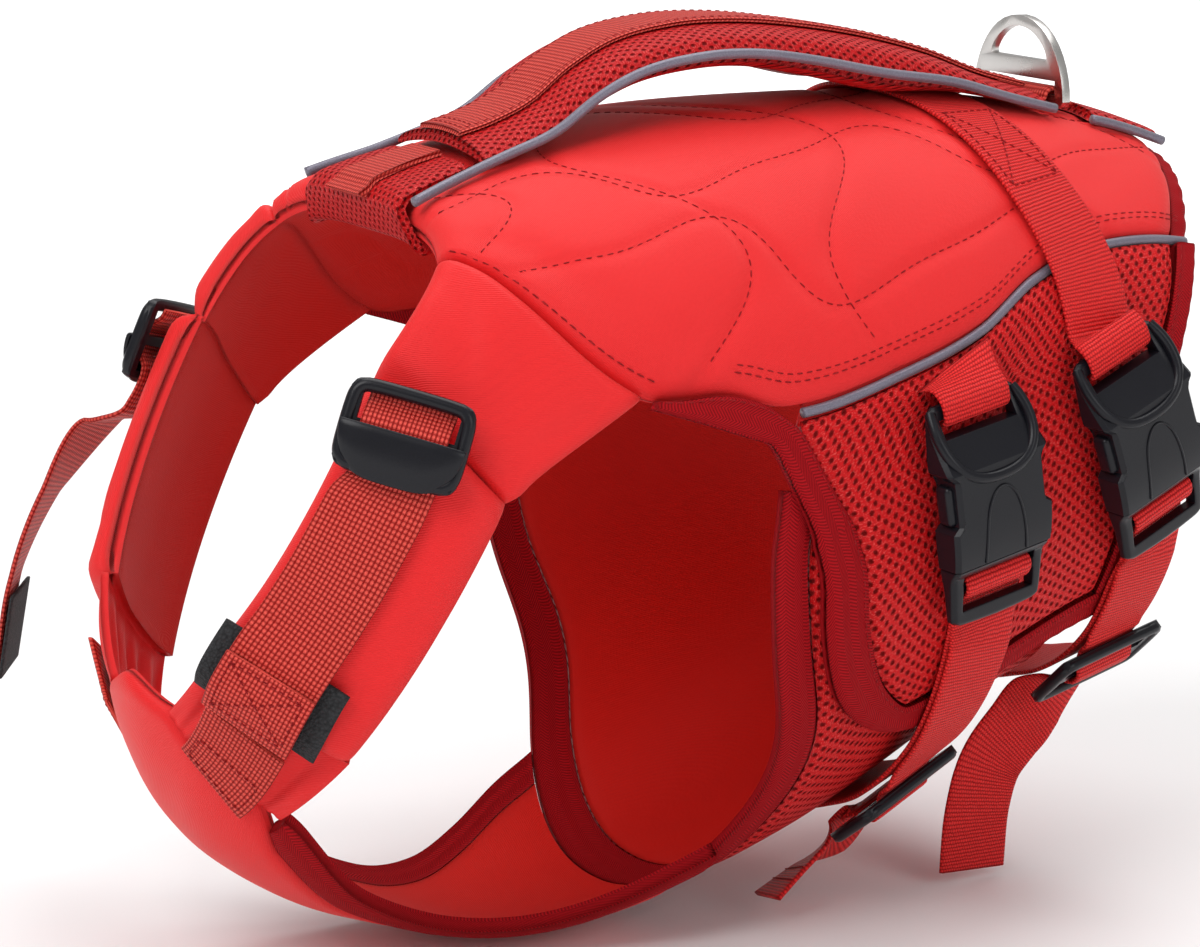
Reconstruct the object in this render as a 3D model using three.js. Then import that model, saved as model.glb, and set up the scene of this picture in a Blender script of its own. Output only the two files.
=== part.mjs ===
// A dog's life jacket, worn shape, with no wearer. Millimetres, +Z up. The dog's head points to -Y and
// its left side is +X. The origin is the wearer's side of the back panel, on the spine at its crest.
import * as THREE from 'three';

// Driving sizes of the jacket.
const FRONT = -142;           // station of the neck edge on the spine
const REAR = 134;             // station of the rear edge on the spine
const BACK_WALL = 9;          // foam back panel
const FLAP_WALL = 9.5;        // shoulder flaps
const SLEEVE_WALL = 12;       // padded strap sleeves
const SIDE_WALL = 4.8;        // air mesh side panels
const BELLY_WALL = 4;         // belly panel under them
const CHEST_WALL = 5;         // chest plate
const TAB_WALL = 2.4;         // thin cloth tabs
const TAPE = 12;              // width of the binding tape that shows on one face
const WEBBING = 25;           // width of every strap
const PLY = 1.6;              // thickness of one layer of webbing
const PIPE = 1.5;             // radius of the reflective piping
const GAP = 0.35;             // room between two sewn or stacked pieces

const SIDE_IN = BELLY_WALL + 0.4;           // the side panels lie on the belly panel
const SIDE_OUT = SIDE_IN + SIDE_WALL;
const PIPE_DEG = 2.5;                       // room for the piping between back and side panel

// The general form inside the jacket. A station is the place along the spine; top is the spine's
// height there, deep the depth of the section, half its half width, mid the share of the depth at which
// it is widest, up and low the squareness above and below that, and lean how far the section slants.
const BODY = [
  { s: -160, top: -26, deep: 100, half: 50, mid: 0.28, up: 3.8, low: 2.0, lean: 0.63 },
  { s: -142, top: -19, deep: 126, half: 61, mid: 0.31, up: 3.6, low: 2.0, lean: 0.62 },
  { s: -118, top: -12, deep: 160, half: 73, mid: 0.37, up: 3.0, low: 2.0, lean: 0.6 },
  { s: -90, top: -6, deep: 193, half: 82, mid: 0.42, up: 2.7, low: 2.1, lean: 0.56 },
  { s: -50, top: -1, deep: 221, half: 88, mid: 0.44, up: 2.5, low: 2.2, lean: 0.5 },
  { s: 0, top: 0, deep: 237, half: 88, mid: 0.46, up: 2.4, low: 2.2, lean: 0.43 },
  { s: 50, top: -2, deep: 220, half: 84, mid: 0.46, up: 2.35, low: 2.2, lean: 0.37 },
  { s: 100, top: -10, deep: 177, half: 78, mid: 0.46, up: 2.3, low: 2.2, lean: 0.32 },
  { s: 142, top: -24, deep: 145, half: 71, mid: 0.46, up: 2.3, low: 2.2, lean: 0.3 },
];

// Edges on that form. Angles are degrees round the section: 0 on the spine, 90 at the flank, 180 below.
// The back panel's lower edge: front seam to the shoulder flaps, then the piped seam.
const BACK_EDGE = [
  { s: -142, deg: 50 }, { s: -110, deg: 65 }, { s: -69, deg: 75.5 }, { s: -45, deg: 73.8 },
  { s: -25, deg: 74.2 }, { s: 9, deg: 69 }, { s: 37, deg: 64 }, { s: 55, deg: 56.5 },
  { s: 80, deg: 51.5 }, { s: 142, deg: 50.5 },
];
// The free front edge of a side panel, from under the back panel down to its rounded lower corner.
const SIDE_FRONT = [
  { deg: 77, s: -31 }, { deg: 84, s: -15 }, { deg: 92, s: 4 },
  { deg: 100, s: 13 }, { deg: 106, s: 20 }, { deg: 112.5, s: 29 }, { deg: 119.5, s: 42 },
  { deg: 124, s: 54 }, { deg: 127, s: 66 },
];
// The free front edge of the belly panel.
const BELLY_FRONT = [
  { deg: 84, s: -15 }, { deg: 90, s: -10 }, { deg: 101, s: 2 }, { deg: 116, s: 18 },
  { deg: 127, s: 24 }, { deg: 142, s: 25 }, { deg: 180, s: 25 },
];
// The rear edge of the side panels.
const SIDE_REAR = [
  { deg: 50, s: 116.5 }, { deg: 65, s: 113 }, { deg: 78, s: 110 }, { deg: 92, s: 110 },
  { deg: 106, s: 113 }, { deg: 127, s: 116 },
];
// The rear edge of the belly panel.
const BELLY_REAR = [
  { deg: 85, s: 101 }, { deg: 106, s: 104 }, { deg: 127, s: 108 }, { deg: 150, s: 116 }, { deg: 180, s: 119 },
];
// The chest plate's side edge, as degrees away from the lowest line: tab seam, then armhole.
const CHEST_EDGE = [
  { s: -142, deg: 12 }, { s: -132, deg: 17.5 }, { s: -113, deg: 25 }, { s: -94, deg: 31 },
  { s: -82, deg: 29.5 }, { s: -55, deg: 20.5 }, { s: -30, deg: 16 }, { s: -13, deg: 19.5 },
  { s: 2, deg: 27 }, { s: 14, deg: 34 }, { s: 24.4, deg: 38 },
];
const SIDE_LOW = 126.5;       // lower edge of the side panels, degrees
const BELLY_TOP = 85;         // how far up the belly panel rises inside the side panels, degrees

// A smooth curve through a table's rows, straight beyond its ends.
function along(rows, from, to, x) {
  const last = rows.length - 1;
  const slope = (i, j) => (rows[j][to] - rows[i][to]) / (rows[j][from] - rows[i][from]);
  const tangent = (i) => slope(Math.max(i - 1, 0), Math.min(i + 1, last));
  if (x <= rows[0][from]) return rows[0][to] + tangent(0) * (x - rows[0][from]);
  if (x >= rows[last][from]) return rows[last][to] + tangent(last) * (x - rows[last][from]);
  let i = 0;
  while (x > rows[i + 1][from]) i += 1;
  const span = rows[i + 1][from] - rows[i][from];
  const t = (x - rows[i][from]) / span;
  const rise = t * t * (3 - 2 * t);
  return (1 - rise) * rows[i][to] + rise * rows[i + 1][to]
    + span * t * (1 - t) * ((1 - t) * tangent(i) - t * tangent(i + 1));
}

const mix = THREE.MathUtils.lerp;
const power = (x, exponent) => Math.sign(x) * Math.abs(x) ** exponent;
const backEdge = (s) => along(BACK_EDGE, 's', 'deg', s);

// A point of the form itself, and one moved out from it along its normal.
function bare(s, deg) {
  const at = (key) => along(BODY, 's', key, s);
  const a = THREE.MathUtils.degToRad(deg);
  const [across, up] = [Math.sin(a), Math.cos(a)];
  const exponent = 2 / at(up >= 0 ? 'up' : 'low');
  const share = up >= 0 ? at('mid') : 1 - at('mid');
  const fall = at('deep') * (at('mid') - share * power(up, exponent));
  return new THREE.Vector3(at('half') * power(across, exponent), s - at('lean') * fall, at('top') - fall);
}
function normalAt(s, deg) {
  const alongSpine = bare(s + 0.5, deg).sub(bare(s - 0.5, deg));
  const round = bare(s, deg + 0.3).sub(bare(s, deg - 0.3));
  return round.cross(alongSpine).normalize();
}
const onForm = (s, deg, out) => bare(s, deg).addScaledVector(normalAt(s, deg), out);

// The station at which the form's surface at this angle reaches a given y.
function stationAt(y, deg) {
  let s = y + 60;
  for (let i = 0; i < 12; i += 1) s += y - bare(s, deg).y;
  return s;
}

// Solids from points. A closed body is kept facing out whichever way its points run.
function body(points, faces) {
  const geometry = new THREE.BufferGeometry();
  geometry.setAttribute('position', new THREE.Float32BufferAttribute(points.flatMap((p) => p.toArray()), 3));
  const volume = faces.reduce((sum, [a, b, c]) =>
    sum + points[a].dot(new THREE.Vector3().crossVectors(points[b], points[c])), 0);
  geometry.setIndex(faces.flatMap((f) => (volume < 0 ? [f[0], f[2], f[1]] : f)));
  geometry.computeVertexNormals();
  return geometry;
}

// A wall: at(u, v, out) gives a point, out is 0 on the wearer's side and 1 on the outer side.
function wall(us, vs, at) {
  const points = [];
  const id = (side, i, j) => (side * us.length + i) * vs.length + j;
  for (const out of [0, 1]) for (const u of us) for (const v of vs) points.push(at(u, v, out));
  const faces = [];
  const quad = (a, b, c, d) => faces.push([a, b, c], [a, c, d]);
  const [m, n] = [us.length - 1, vs.length - 1];
  for (let i = 0; i < m; i += 1) {
    for (let j = 0; j < n; j += 1) {
      quad(id(1, i, j), id(1, i + 1, j), id(1, i + 1, j + 1), id(1, i, j + 1));
      quad(id(0, i, j), id(0, i, j + 1), id(0, i + 1, j + 1), id(0, i + 1, j));
    }
    quad(id(0, i, 0), id(0, i + 1, 0), id(1, i + 1, 0), id(1, i, 0));
    quad(id(0, i, n), id(1, i, n), id(1, i + 1, n), id(0, i + 1, n));
  }
  for (let j = 0; j < n; j += 1) {
    quad(id(0, 0, j), id(1, 0, j), id(1, 0, j + 1), id(0, 0, j + 1));
    quad(id(0, m, j), id(0, m, j + 1), id(1, m, j + 1), id(1, m, j));
  }
  return body(points, faces);
}

// Even shares from 0 to 1, and ones with a narrow first and last step, where a padded wall rounds over.
const even = (steps) => Array.from({ length: steps + 1 }, (_, i) => i / steps);
const padded = (steps, rim) => [0, ...even(steps).map((t) => mix(rim, 1 - rim, t)), 1];
const onRim = (x) => x < 1e-6 || x > 1 - 1e-6;
// The height of a padded wall's outer face: lower on its rim.
const swell = (u, v, wallSize) => wallSize * (onRim(u) || onRim(v) ? 0.6 : 1);

// A swept solid: rows of { p, wide, up } and a convex section of [across, out] points.
function sweep(rows, section) {
  const points = rows.flatMap(({ p, wide, up }) =>
    section.map(([x, y]) => p.clone().addScaledVector(wide, x).addScaledVector(up, y)));
  const n = section.length;
  const faces = [];
  for (let i = 0; i + 1 < rows.length; i += 1) {
    for (let j = 0; j < n; j += 1) {
      const [a, b] = [i * n + j, i * n + (j + 1) % n];
      faces.push([a, b, b + n], [a, b + n, a + n]);
    }
  }
  const end = (rows.length - 1) * n;
  for (let j = 1; j + 1 < n; j += 1) faces.push([0, j + 1, j], [end, end + j, end + j + 1]);
  return body(points, faces);
}

// Frames along a path of points, with the given outward direction at each.
function frames(points, ups) {
  return points.map((p, i) => {
    const next = points[Math.min(i + 1, points.length - 1)];
    const ahead = next.clone().sub(points[Math.max(i - 1, 0)]).normalize();
    const wide = new THREE.Vector3().crossVectors(ahead, ups[i]).normalize();
    return { p, wide, up: new THREE.Vector3().crossVectors(wide, ahead) };
  });
}
const tapeSection = (width, thick) =>
  [[-width / 2, 0], [width / 2, 0], [width / 2, thick], [-width / 2, thick]];
const roundSection = (radius, sides) => Array.from({ length: sides }, (_, i) => {
  const a = 2 * Math.PI * (i + 0.5) / sides;
  return [radius * Math.cos(a), radius * Math.sin(a)];
});

// The place on the form some distance beside (s, deg), in the tangent direction given.
function beside(s, deg, direction, distance) {
  const ds = bare(s + 0.5, deg).sub(bare(s - 0.5, deg));
  const dd = bare(s, deg + 0.5).sub(bare(s, deg - 0.5));
  const [ss, sd, ddd] = [ds.dot(ds), ds.dot(dd), dd.dot(dd)];
  const [gs, gd] = [direction.dot(ds) * distance, direction.dot(dd) * distance];
  const det = ss * ddd - sd * sd;
  return { s: s + (gs * ddd - gd * sd) / det, deg: deg + (gd * ss - gs * sd) / det };
}

// Webbing laid on the form along rows of { deg, y, out }, its edges following the form too. A slant, in
// degrees, turns its first or last end to lie along a seam.
function laid(rows, steps, { width = WEBBING, thick = PLY, slants = [0, 0] } = {}) {
  const first = rows[0].deg;
  const last = rows[rows.length - 1].deg;
  const table = first > last ? [...rows].reverse() : rows;
  const path = even(steps).map((t) => {
    const deg = mix(first, last, t);
    return { s: stationAt(along(table, 'deg', 'y', deg), deg), deg, out: along(table, 'deg', 'out', deg) };
  });
  const ups = path.map(({ s, deg }) => normalAt(s, deg));
  const lines = frames(path.map(({ s, deg, out }) => onForm(s, deg, out)), ups);
  const slant = (i) => (i === 0 ? slants[0] : 0) + (i === steps ? slants[1] : 0);
  return path.map(({ s, deg, out }, i) => [-0.5, 0.5].map((x) => {
    const at = beside(s, deg, lines[i].wide, x * width);
    const turn = at.deg + x * slant(i);
    return { low: onForm(at.s, turn, out), high: onForm(at.s, turn, out + thick) };
  }));
}
// Webbing that hangs or threads freely: points with the direction of its width at each.
function threaded(points, wides, steps, width = WEBBING, thick = PLY) {
  const curve = new THREE.CatmullRomCurve3(points, false, 'centripetal');
  return even(steps).map((t) => {
    const p = curve.getPoint(t);
    const place = t * (wides.length - 1);
    const i = Math.min(Math.floor(place), wides.length - 2);
    const wide = wides[i].clone().lerp(wides[i + 1], place - i);
    const ahead = curve.getTangent(t);
    wide.addScaledVector(ahead, -wide.dot(ahead)).normalize();
    const up = new THREE.Vector3().crossVectors(wide, ahead);
    return [-0.5, 0.5].map((x) => {
      const low = p.clone().addScaledVector(wide, x * width);
      return { low, high: low.clone().addScaledVector(up, thick) };
    });
  });
}
// A closed ribbon from rows of two { low, high } pairs, one on each edge.
const ribbon = (rows) => wall([0, 1], even(rows.length - 1), (u, v, out) => {
  const pair = rows[Math.round(v * (rows.length - 1))][u];
  return (out ? pair.high : pair.low).clone();
});
// The same rows for webbing that has turned over and runs back.
const turned = (rows) => rows.map(([a, b]) => [{ low: b.high, high: b.low }, { low: a.high, high: a.low }]);

// A moulded plate on a grid: open cells are holes, at(i, j, out) gives a corner of its two faces.
function plate(columns, rows, open, at) {
  const points = [];
  const ids = new Map();
  const id = ([i, j], out) => {
    const key = [i, j, out].join();
    if (!ids.has(key)) {
      ids.set(key, points.length);
      points.push(at(i, j, out));
    }
    return ids.get(key);
  };
  const faces = [];
  const quad = (a, b, c, d) => faces.push([a, b, c], [a, c, d]);
  const filled = (i, j) => i >= 0 && j >= 0 && i < columns - 1 && j < rows - 1 && !open(i, j);
  for (let i = 0; i < columns - 1; i += 1) {
    for (let j = 0; j < rows - 1; j += 1) {
      if (filled(i, j)) {
        const ring = [[i, j], [i + 1, j], [i + 1, j + 1], [i, j + 1]];
        const beyond = [[i, j - 1], [i + 1, j], [i, j + 1], [i - 1, j]];
        quad(...ring.map((c) => id(c, 1)));
        quad(...ring.map((c) => id(c, 0)).reverse());
        beyond.forEach(([m, n], k) => {
          const [a, b] = [ring[k], ring[(k + 1) % 4]];
          if (!filled(m, n)) quad(id(a, 0), id(b, 0), id(b, 1), id(a, 1));
        });
      }
    }
  }
  return body(points, faces);
}

const jacket = new THREE.Group();
const FABRIC = new THREE.MeshStandardMaterial({ color: 0xe0383a, roughness: 0.7 });
const MESH_CLOTH = new THREE.MeshStandardMaterial({ color: 0xb3121a, roughness: 0.9 });
const TAPE_CLOTH = new THREE.MeshStandardMaterial({ color: 0x9c1828, roughness: 0.85 });
const STRAP_CLOTH = new THREE.MeshStandardMaterial({ color: 0xd23a38, roughness: 0.75 });
const REFLECTIVE = new THREE.MeshStandardMaterial({ color: 0x77727f, roughness: 0.45 });
const PLASTIC = new THREE.MeshStandardMaterial({ color: 0x1c1c20, roughness: 0.4 });
const STEEL = new THREE.MeshStandardMaterial({ color: 0xa39d99, roughness: 0.35, metalness: 1 });
const HOOK = new THREE.MeshStandardMaterial({ color: 0x101013, roughness: 0.95 });
function add(name, geometry, material) {
  const mesh = new THREE.Mesh(geometry, material);
  mesh.name = name;
  jacket.add(mesh);
  return mesh;
}
const SIDES = [{ side: 'left', sign: 1 }, { side: 'right', sign: -1 }];

// Back panel. Its rear edge comes forward from the spine to the piped seams.
const TAPE_REAR = 8;
const rearStation = (across) => REAR - (REAR - SIDE_REAR[0].s) * (Math.hypot(across, 0.2) - 0.2) / 0.82;
add('back_panel', wall(padded(14, 0.02), padded(20, 0.012), (u, v, out) => {
  const across = 2 * u - 1;
  const s = mix(FRONT, rearStation(across) - TAPE_REAR - GAP, v);
  return onForm(s, across * (backEdge(s) - 0.1), out * swell(u, v, BACK_WALL));
}), FABRIC);
add('back_rear_binding', wall(even(12), [0, 0.8, 1], (u, v, out) => {
  const across = 2 * u - 1;
  const s = rearStation(across) - TAPE_REAR * (1 - v);
  return onForm(s, across * (backEdge(s) - 0.1), out * (v === 1 ? 4.5 : 6.5));
}), TAPE_CLOTH);

// Chest plate, thin and wrapped round the front of the chest, with tape on its armhole edges.
const CHEST_END = 24.6;
const CHEST_TAPE = 7.2;       // degrees that the tape covers
const chestHalf = (s) => along(CHEST_EDGE, 's', 'deg', s);
const tapeDeg = (s) => CHEST_TAPE * THREE.MathUtils.smoothstep(s, -104, -86);
const chestSteps = padded(16, 0.012);
const chestStation = (across, v) => mix(FRONT + 10 * across ** 2, CHEST_END, v);
add('chest_plate', wall(padded(10, 0.03), chestSteps, (u, v, out) => {
  const across = 2 * u - 1;
  const s = chestStation(across, v);
  return onForm(s, 180 - across * (chestHalf(s) - tapeDeg(s)), out * swell(u, v, CHEST_WALL));
}), FABRIC);

// Belly panel, from one side up inside the side panels round the belly to the other.
const BELLY_TAPE = 10;
const bellyFront = (deg) => along(BELLY_FRONT, 'deg', 's', Math.min(deg, 360 - deg));
add('belly_panel', wall(even(26), even(7), (u, v, out) => {
  const deg = mix(BELLY_TOP, 360 - BELLY_TOP, u);
  const end = along(BELLY_REAR, 'deg', 's', Math.min(deg, 360 - deg));
  return onForm(mix(bellyFront(deg) + BELLY_TAPE + GAP, end, v), deg, out * BELLY_WALL);
}), MESH_CLOTH);
add('belly_front_binding', wall(even(30), [0, 1], (u, v, out) => {
  const deg = mix(BELLY_TOP, 360 - BELLY_TOP, u);
  return onForm(bellyFront(deg) + BELLY_TAPE * v, deg, out * BELLY_WALL);
}), TAPE_CLOTH);

for (const { side, sign } of SIDES) {
  const place = (s, deg, out) => onForm(s, sign * deg, out);

  // Shoulder flap, from the back panel's front seam to its hem.
  const seam = (p) => mix(FRONT, -69, p);
  const hem = { s: (p) => mix(-149, -96, p), deg: (p) => mix(90, 92, p) };
  add(`shoulder_flap_${side}`, wall(padded(7, 0.04), padded(5, 0.06), (u, v, out) => {
    const top = backEdge(seam(u)) + 0.6;
    return place(mix(seam(u), hem.s(u), v), mix(top, hem.deg(u), v), out * swell(u, v, FLAP_WALL));
  }), FABRIC);

  // Padded sleeve out of the flap, and the thin tab that joins it to the chest plate.
  const cuff = { s: (p) => mix(-140, -94, p), deg: (p) => mix(140, 132, p) };
  add(`strap_sleeve_${side}`, wall(padded(5, 0.07), padded(7, 0.05), (u, v, out) =>
    place(mix(hem.s(u), cuff.s(u), v), mix(hem.deg(u) + 0.25, cuff.deg(u), v),
      out ? 1 + swell(u, v, SLEEVE_WALL) : 1)), FABRIC);
  const chestSeam = (p) => mix(-132, -94.5, p);
  add(`strap_tab_${side}`, wall(even(12), even(4), (u, v, out) => {
    const gather = 1.1 * Math.sin(9 * Math.PI * u) * Math.sin(Math.PI * v);
    return place(mix(cuff.s(u), chestSeam(u), v), mix(cuff.deg(u) + 0.3, 179.7 - chestHalf(chestSeam(u)), v),
      mix(4, 1.5, v) + gather + out * TAB_WALL);
  }), FABRIC);

  // Tape on the chest plate's armhole edge, at the plate's own stations.
  const tapeStations = chestSteps.map((v) => chestStation(1, v)).filter((s) => s > -101);
  add(`chest_binding_${side}`, wall(tapeStations, [0, 1], (s, v, out) => {
    const deg = 180 - chestHalf(s) + v * (tapeDeg(s) - 0.25);
    return place(s, deg, out * (CHEST_WALL + 0.6));
  }), TAPE_CLOTH);

  // Side panel of thick air mesh with tape round its front, lower and rear edges.
  const front = (deg) => Math.max(SIDE_FRONT[0].s, along(SIDE_FRONT, 'deg', 's', deg));
  const rear = (deg) => along(SIDE_REAR, 'deg', 's', deg);
  const tapeTop = SIDE_LOW - TAPE / 1.58;
  const inset = (u, deg, topRear) => mix(front(deg) + TAPE + GAP, topRear - TAPE_REAR - GAP, u);
  add(`side_panel_${side}`, wall(even(16), even(7), (u, v, out) => {
    const deg = mix(backEdge(inset(u, 60, rear(60))) + PIPE_DEG, tapeTop - 0.3, v);
    const end = mix(rear(60), rear(deg), Math.min(1, 4 * v));
    return place(inset(u, deg, end), deg, SIDE_IN + out * SIDE_WALL);
  }), MESH_CLOTH);
  const tape = (rows) => wall(even(rows.length - 1), [0, 0.2, 0.85, 1], (u, v, out) => {
    const row = rows[Math.round(u * (rows.length - 1))];
    const lift = out ? SIDE_OUT + (onRim(v) ? -0.6 : 0.5) : SIDE_IN;
    return place(mix(row.inner.s, row.free.s, v), mix(row.inner.deg, row.free.deg, v), lift);
  });
  const rimRows = [];
  for (const t of [0, 0.5, 1]) {
    const s = mix(-66, -33, t);
    rimRows.push({ inner: { s, deg: backEdge(s) + 0.4 }, free: { s, deg: mix(77, 79, t) } });
  }
  for (const t of even(12)) {
    const inner = mix(77, tapeTop, t);
    const free = mix(79.3, 124.5, t);
    const sewn = { s: front(inner) + TAPE - GAP, deg: inner };
    rimRows.push({ inner: sewn, free: { s: front(free), deg: free } });
  }
  for (const t of [0.15, 0.4, 0.7, 1]) {
    const s = mix(front(tapeTop) + TAPE, rear(120), t);
    const free = { s: Math.max(s, front(124.5) + 3), deg: SIDE_LOW };
    rimRows.push({ inner: { s, deg: tapeTop + 0.1 }, free });
  }
  add(`side_binding_${side}`, tape(rimRows), TAPE_CLOTH);
  const rearRows = even(8).map((t) => {
    const deg = mix(backEdge(110) + PIPE_DEG, tapeTop - 0.3, t);
    return { inner: { s: rear(deg) - TAPE_REAR + 0.15, deg }, free: { s: rear(deg), deg } };
  });
  add(`side_rear_binding_${side}`, tape(rearRows), TAPE_CLOTH);

  // Reflective piping in the seam between back panel and side panel.
  const pipePath = even(20).map((t) => {
    const s = mix(-19, 113, t);
    return { s, deg: backEdge(s) + PIPE_DEG / 2 };
  });
  const pipeUp = pipePath.map(({ s, deg }) => normalAt(s, sign * deg));
  add(`back_piping_${side}`, sweep(frames(pipePath.map(({ s, deg }) => place(s, deg, 7)), pipeUp),
    roundSection(PIPE, 6)), REFLECTIVE);
}

// The back panel's outer face at a given place across and along.
function backTop(x, y, out = BACK_WALL) {
  const turned = (s) => {
    const share = Math.min(Math.abs(x) / (along(BODY, 's', 'half', s) + out), 1);
    return Math.sign(x) * THREE.MathUtils.radToDeg(Math.asin(share ** (along(BODY, 's', 'up', s) / 2)));
  };
  return onForm(y, turned(y), out);
}

// Handle: a front strip folded over the neck edge, the padded arch, and a rear strip.
const HANDLE_HALF = 27;
const HANDLE = [
  { y: -119, low: 2.0, thick: 3.4, droop: 3.4 }, { y: -108, low: 3.6, thick: 4.6, droop: 3 },
  { y: -95, low: 6.4, thick: 7.0, droop: 2 }, { y: -82, low: 13.0, thick: 9.5, droop: 1 },
  { y: -66, low: 19.5, thick: 10.5, droop: 1 }, { y: -46, low: 22.5, thick: 11, droop: 1 },
  { y: -28, low: 22.3, thick: 11.5, droop: 1 }, { y: -8, low: 18.6, thick: 13.5, droop: 1 },
  { y: 20, low: 12.4, thick: 15, droop: 1.2 }, { y: 45, low: 11.4, thick: 9.5, droop: 2 },
  { y: 66, low: 8.2, thick: 5, droop: 3 }, { y: 84, low: 4.6, thick: 3.6, droop: 3.5 },
];
const handle = (key, y) => along(HANDLE, 'y', key, y);
// The arch's faces across: share is 0 on its lower face and 1 on its crown.
function archAt(x, y, share) {
  const across = x / HANDLE_HALF;
  const crown = 1 - 0.34 * across ** 4;
  const z = handle('low', y) - handle('droop', y) * across ** 2 + share * crown * handle('thick', y);
  return new THREE.Vector3(x, y, z);
}
const archStations = even(24).map((t) => mix(-119, 84, t));
add('handle_arch', wall([-1, -0.92, -0.6, -0.25, 0.25, 0.6, 0.92, 1], archStations, (u, y, out) =>
  archAt(u * HANDLE_HALF, y, out)), MESH_CLOTH);
add('handle_webbing', wall([-12.5, -4, 4, 12.5], archStations, (x, y, out) =>
  archAt(x, y, 1).add(new THREE.Vector3(0, 0, GAP + out * PLY))), STRAP_CLOTH);

// The front strip's two faces, from inside the neck edge, round it and back along the top.
const FOLD = [
  { s: -124, in: -0.9, outS: -124, out: -3.4 }, { s: -142.3, in: -0.9, outS: -143, out: -3.4 },
  { s: -142.9, in: 0.6, outS: -145.6, out: -0.6 }, { s: -142.9, in: 8.6, outS: -145.6, out: 9.6 },
  { s: -141, in: 9.9, outS: -141.6, out: 12.6 }, { s: -130, in: 9.8, outS: -130, out: 12.6 },
  { s: -120, in: 9.7, outS: -120, out: 12.2 },
];
const foldHalf = (s) => mix(33.5, 27.5, THREE.MathUtils.clamp((s + 142) / 22, 0, 1));
const foldPoint = (u, row, out, lift = 0) =>
  backTop(u * foldHalf(row.s), out ? row.outS : row.s, (out ? row.out : row.in) + lift);
const STRIP = [-1, -0.7, -0.35, 0, 0.35, 0.7, 1];
add('handle_base', wall(STRIP, FOLD, (u, row, out) => foldPoint(u, row, out)), MESH_CLOTH);
add('handle_base_webbing', wall([-0.38, -0.12, 0.12, 0.38], FOLD.slice(3), (u, row, out) => {
  const p = foldPoint(u, row, 1, GAP + out * PLY);
  if (row === FOLD[3]) p.y -= GAP + out * PLY;
  return p;
}), STRAP_CLOTH);
add('handle_tail', wall(STRIP, [99, 104, 110, 117, 124], (u, y, out) =>
  backTop(u * HANDLE_HALF, y, 9.4 + out * (Math.abs(u) === 1 ? 2 : 3.2))), MESH_CLOTH);
for (const { side, sign } of SIDES) {
  const edge = HANDLE_HALF + 0.5 + PIPE;
  const foot = [-142, -134, -126, -119.5].map((y) => backTop(sign * foldHalf(y), y, 11)
    .setX(sign * (foldHalf(y) + 0.5 + PIPE)));
  const arch = archStations.slice(1).map((y) => archAt(sign * HANDLE_HALF, y, 0.62).setX(sign * edge));
  const path = [...foot, ...arch];
  add(`handle_piping_${side}`, sweep(frames(path, path.map(() => new THREE.Vector3(0, 0, 1))),
    roundSection(PIPE, 6)), REFLECTIVE);
  const tail = [97, 104, 111, 118, 124].map((y) => backTop(sign * edge, y, 11).setX(sign * edge));
  add(`tail_piping_${side}`, sweep(frames(tail, tail.map(() => new THREE.Vector3(0, 0, 1))),
    roundSection(PIPE, 6)), REFLECTIVE);
}

// Leash ring: a flat stamped D with a slot for its webbing. It swings about its lower bar.
const RING_PLATE = 3;
const RING = {
  y: 92, half: 24, bar: 1.7, slotTop: 6.3, slotHalf: 19.5, eyeLow: 12.3, eyeHalf: 16, top: 25.7,
};
RING.z = backTop(0, RING.y).z + 2.9;
const ringShape = new THREE.Shape();
ringShape.moveTo(-RING.half + 1, -RING.bar);
ringShape.lineTo(RING.half - 1, -RING.bar);
ringShape.lineTo(RING.half, 0);
ringShape.bezierCurveTo(RING.half, 12, 15, RING.top, 0, RING.top);
ringShape.bezierCurveTo(-15, RING.top, -RING.half, 12, -RING.half, 0);
const slot = new THREE.Path();
slot.moveTo(-RING.slotHalf, RING.bar);
slot.lineTo(-RING.slotHalf, RING.slotTop);
slot.lineTo(RING.slotHalf, RING.slotTop);
slot.lineTo(RING.slotHalf, RING.bar);
const eye = new THREE.Path();
eye.moveTo(-RING.eyeHalf + 2, RING.eyeLow);
eye.bezierCurveTo(-RING.eyeHalf - 1, RING.eyeLow, -11, 22.3, 0, 22.3);
eye.bezierCurveTo(11, 22.3, RING.eyeHalf + 1, RING.eyeLow, RING.eyeHalf - 2, RING.eyeLow);
ringShape.holes.push(slot, eye);
const ringSolid = { depth: RING_PLATE, bevelEnabled: false, curveSegments: 10 };
const ringPlate = new THREE.ExtrudeGeometry(ringShape, ringSolid);
ringPlate.translate(0, 0, -RING_PLATE / 2).rotateX(Math.PI / 2);
const ring = add('leash_ring', ringPlate, STEEL);
ring.position.set(0, RING.y, RING.z);

// The webbing saddle that holds the ring's lower bar against the back panel.
const SADDLE = [
  { y: -7, z: -1 }, { y: -5, z: -0.8 }, { y: -3.1, z: 0.4 }, { y: -2.2, z: 2.3 }, { y: 0, z: 3 },
  { y: 2.2, z: 2.3 }, { y: 3.1, z: 0.4 }, { y: 5, z: -1.6 }, { y: 6.6, z: -2.2 },
];
const saddle = SADDLE.map(({ y, z }) => new THREE.Vector3(0, RING.y + y, RING.z + z));
add('ring_webbing', sweep(frames(saddle, saddle.map(() => new THREE.Vector3(0, 0, 1))),
  tapeSection(36, PLY)), STRAP_CLOTH);

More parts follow.
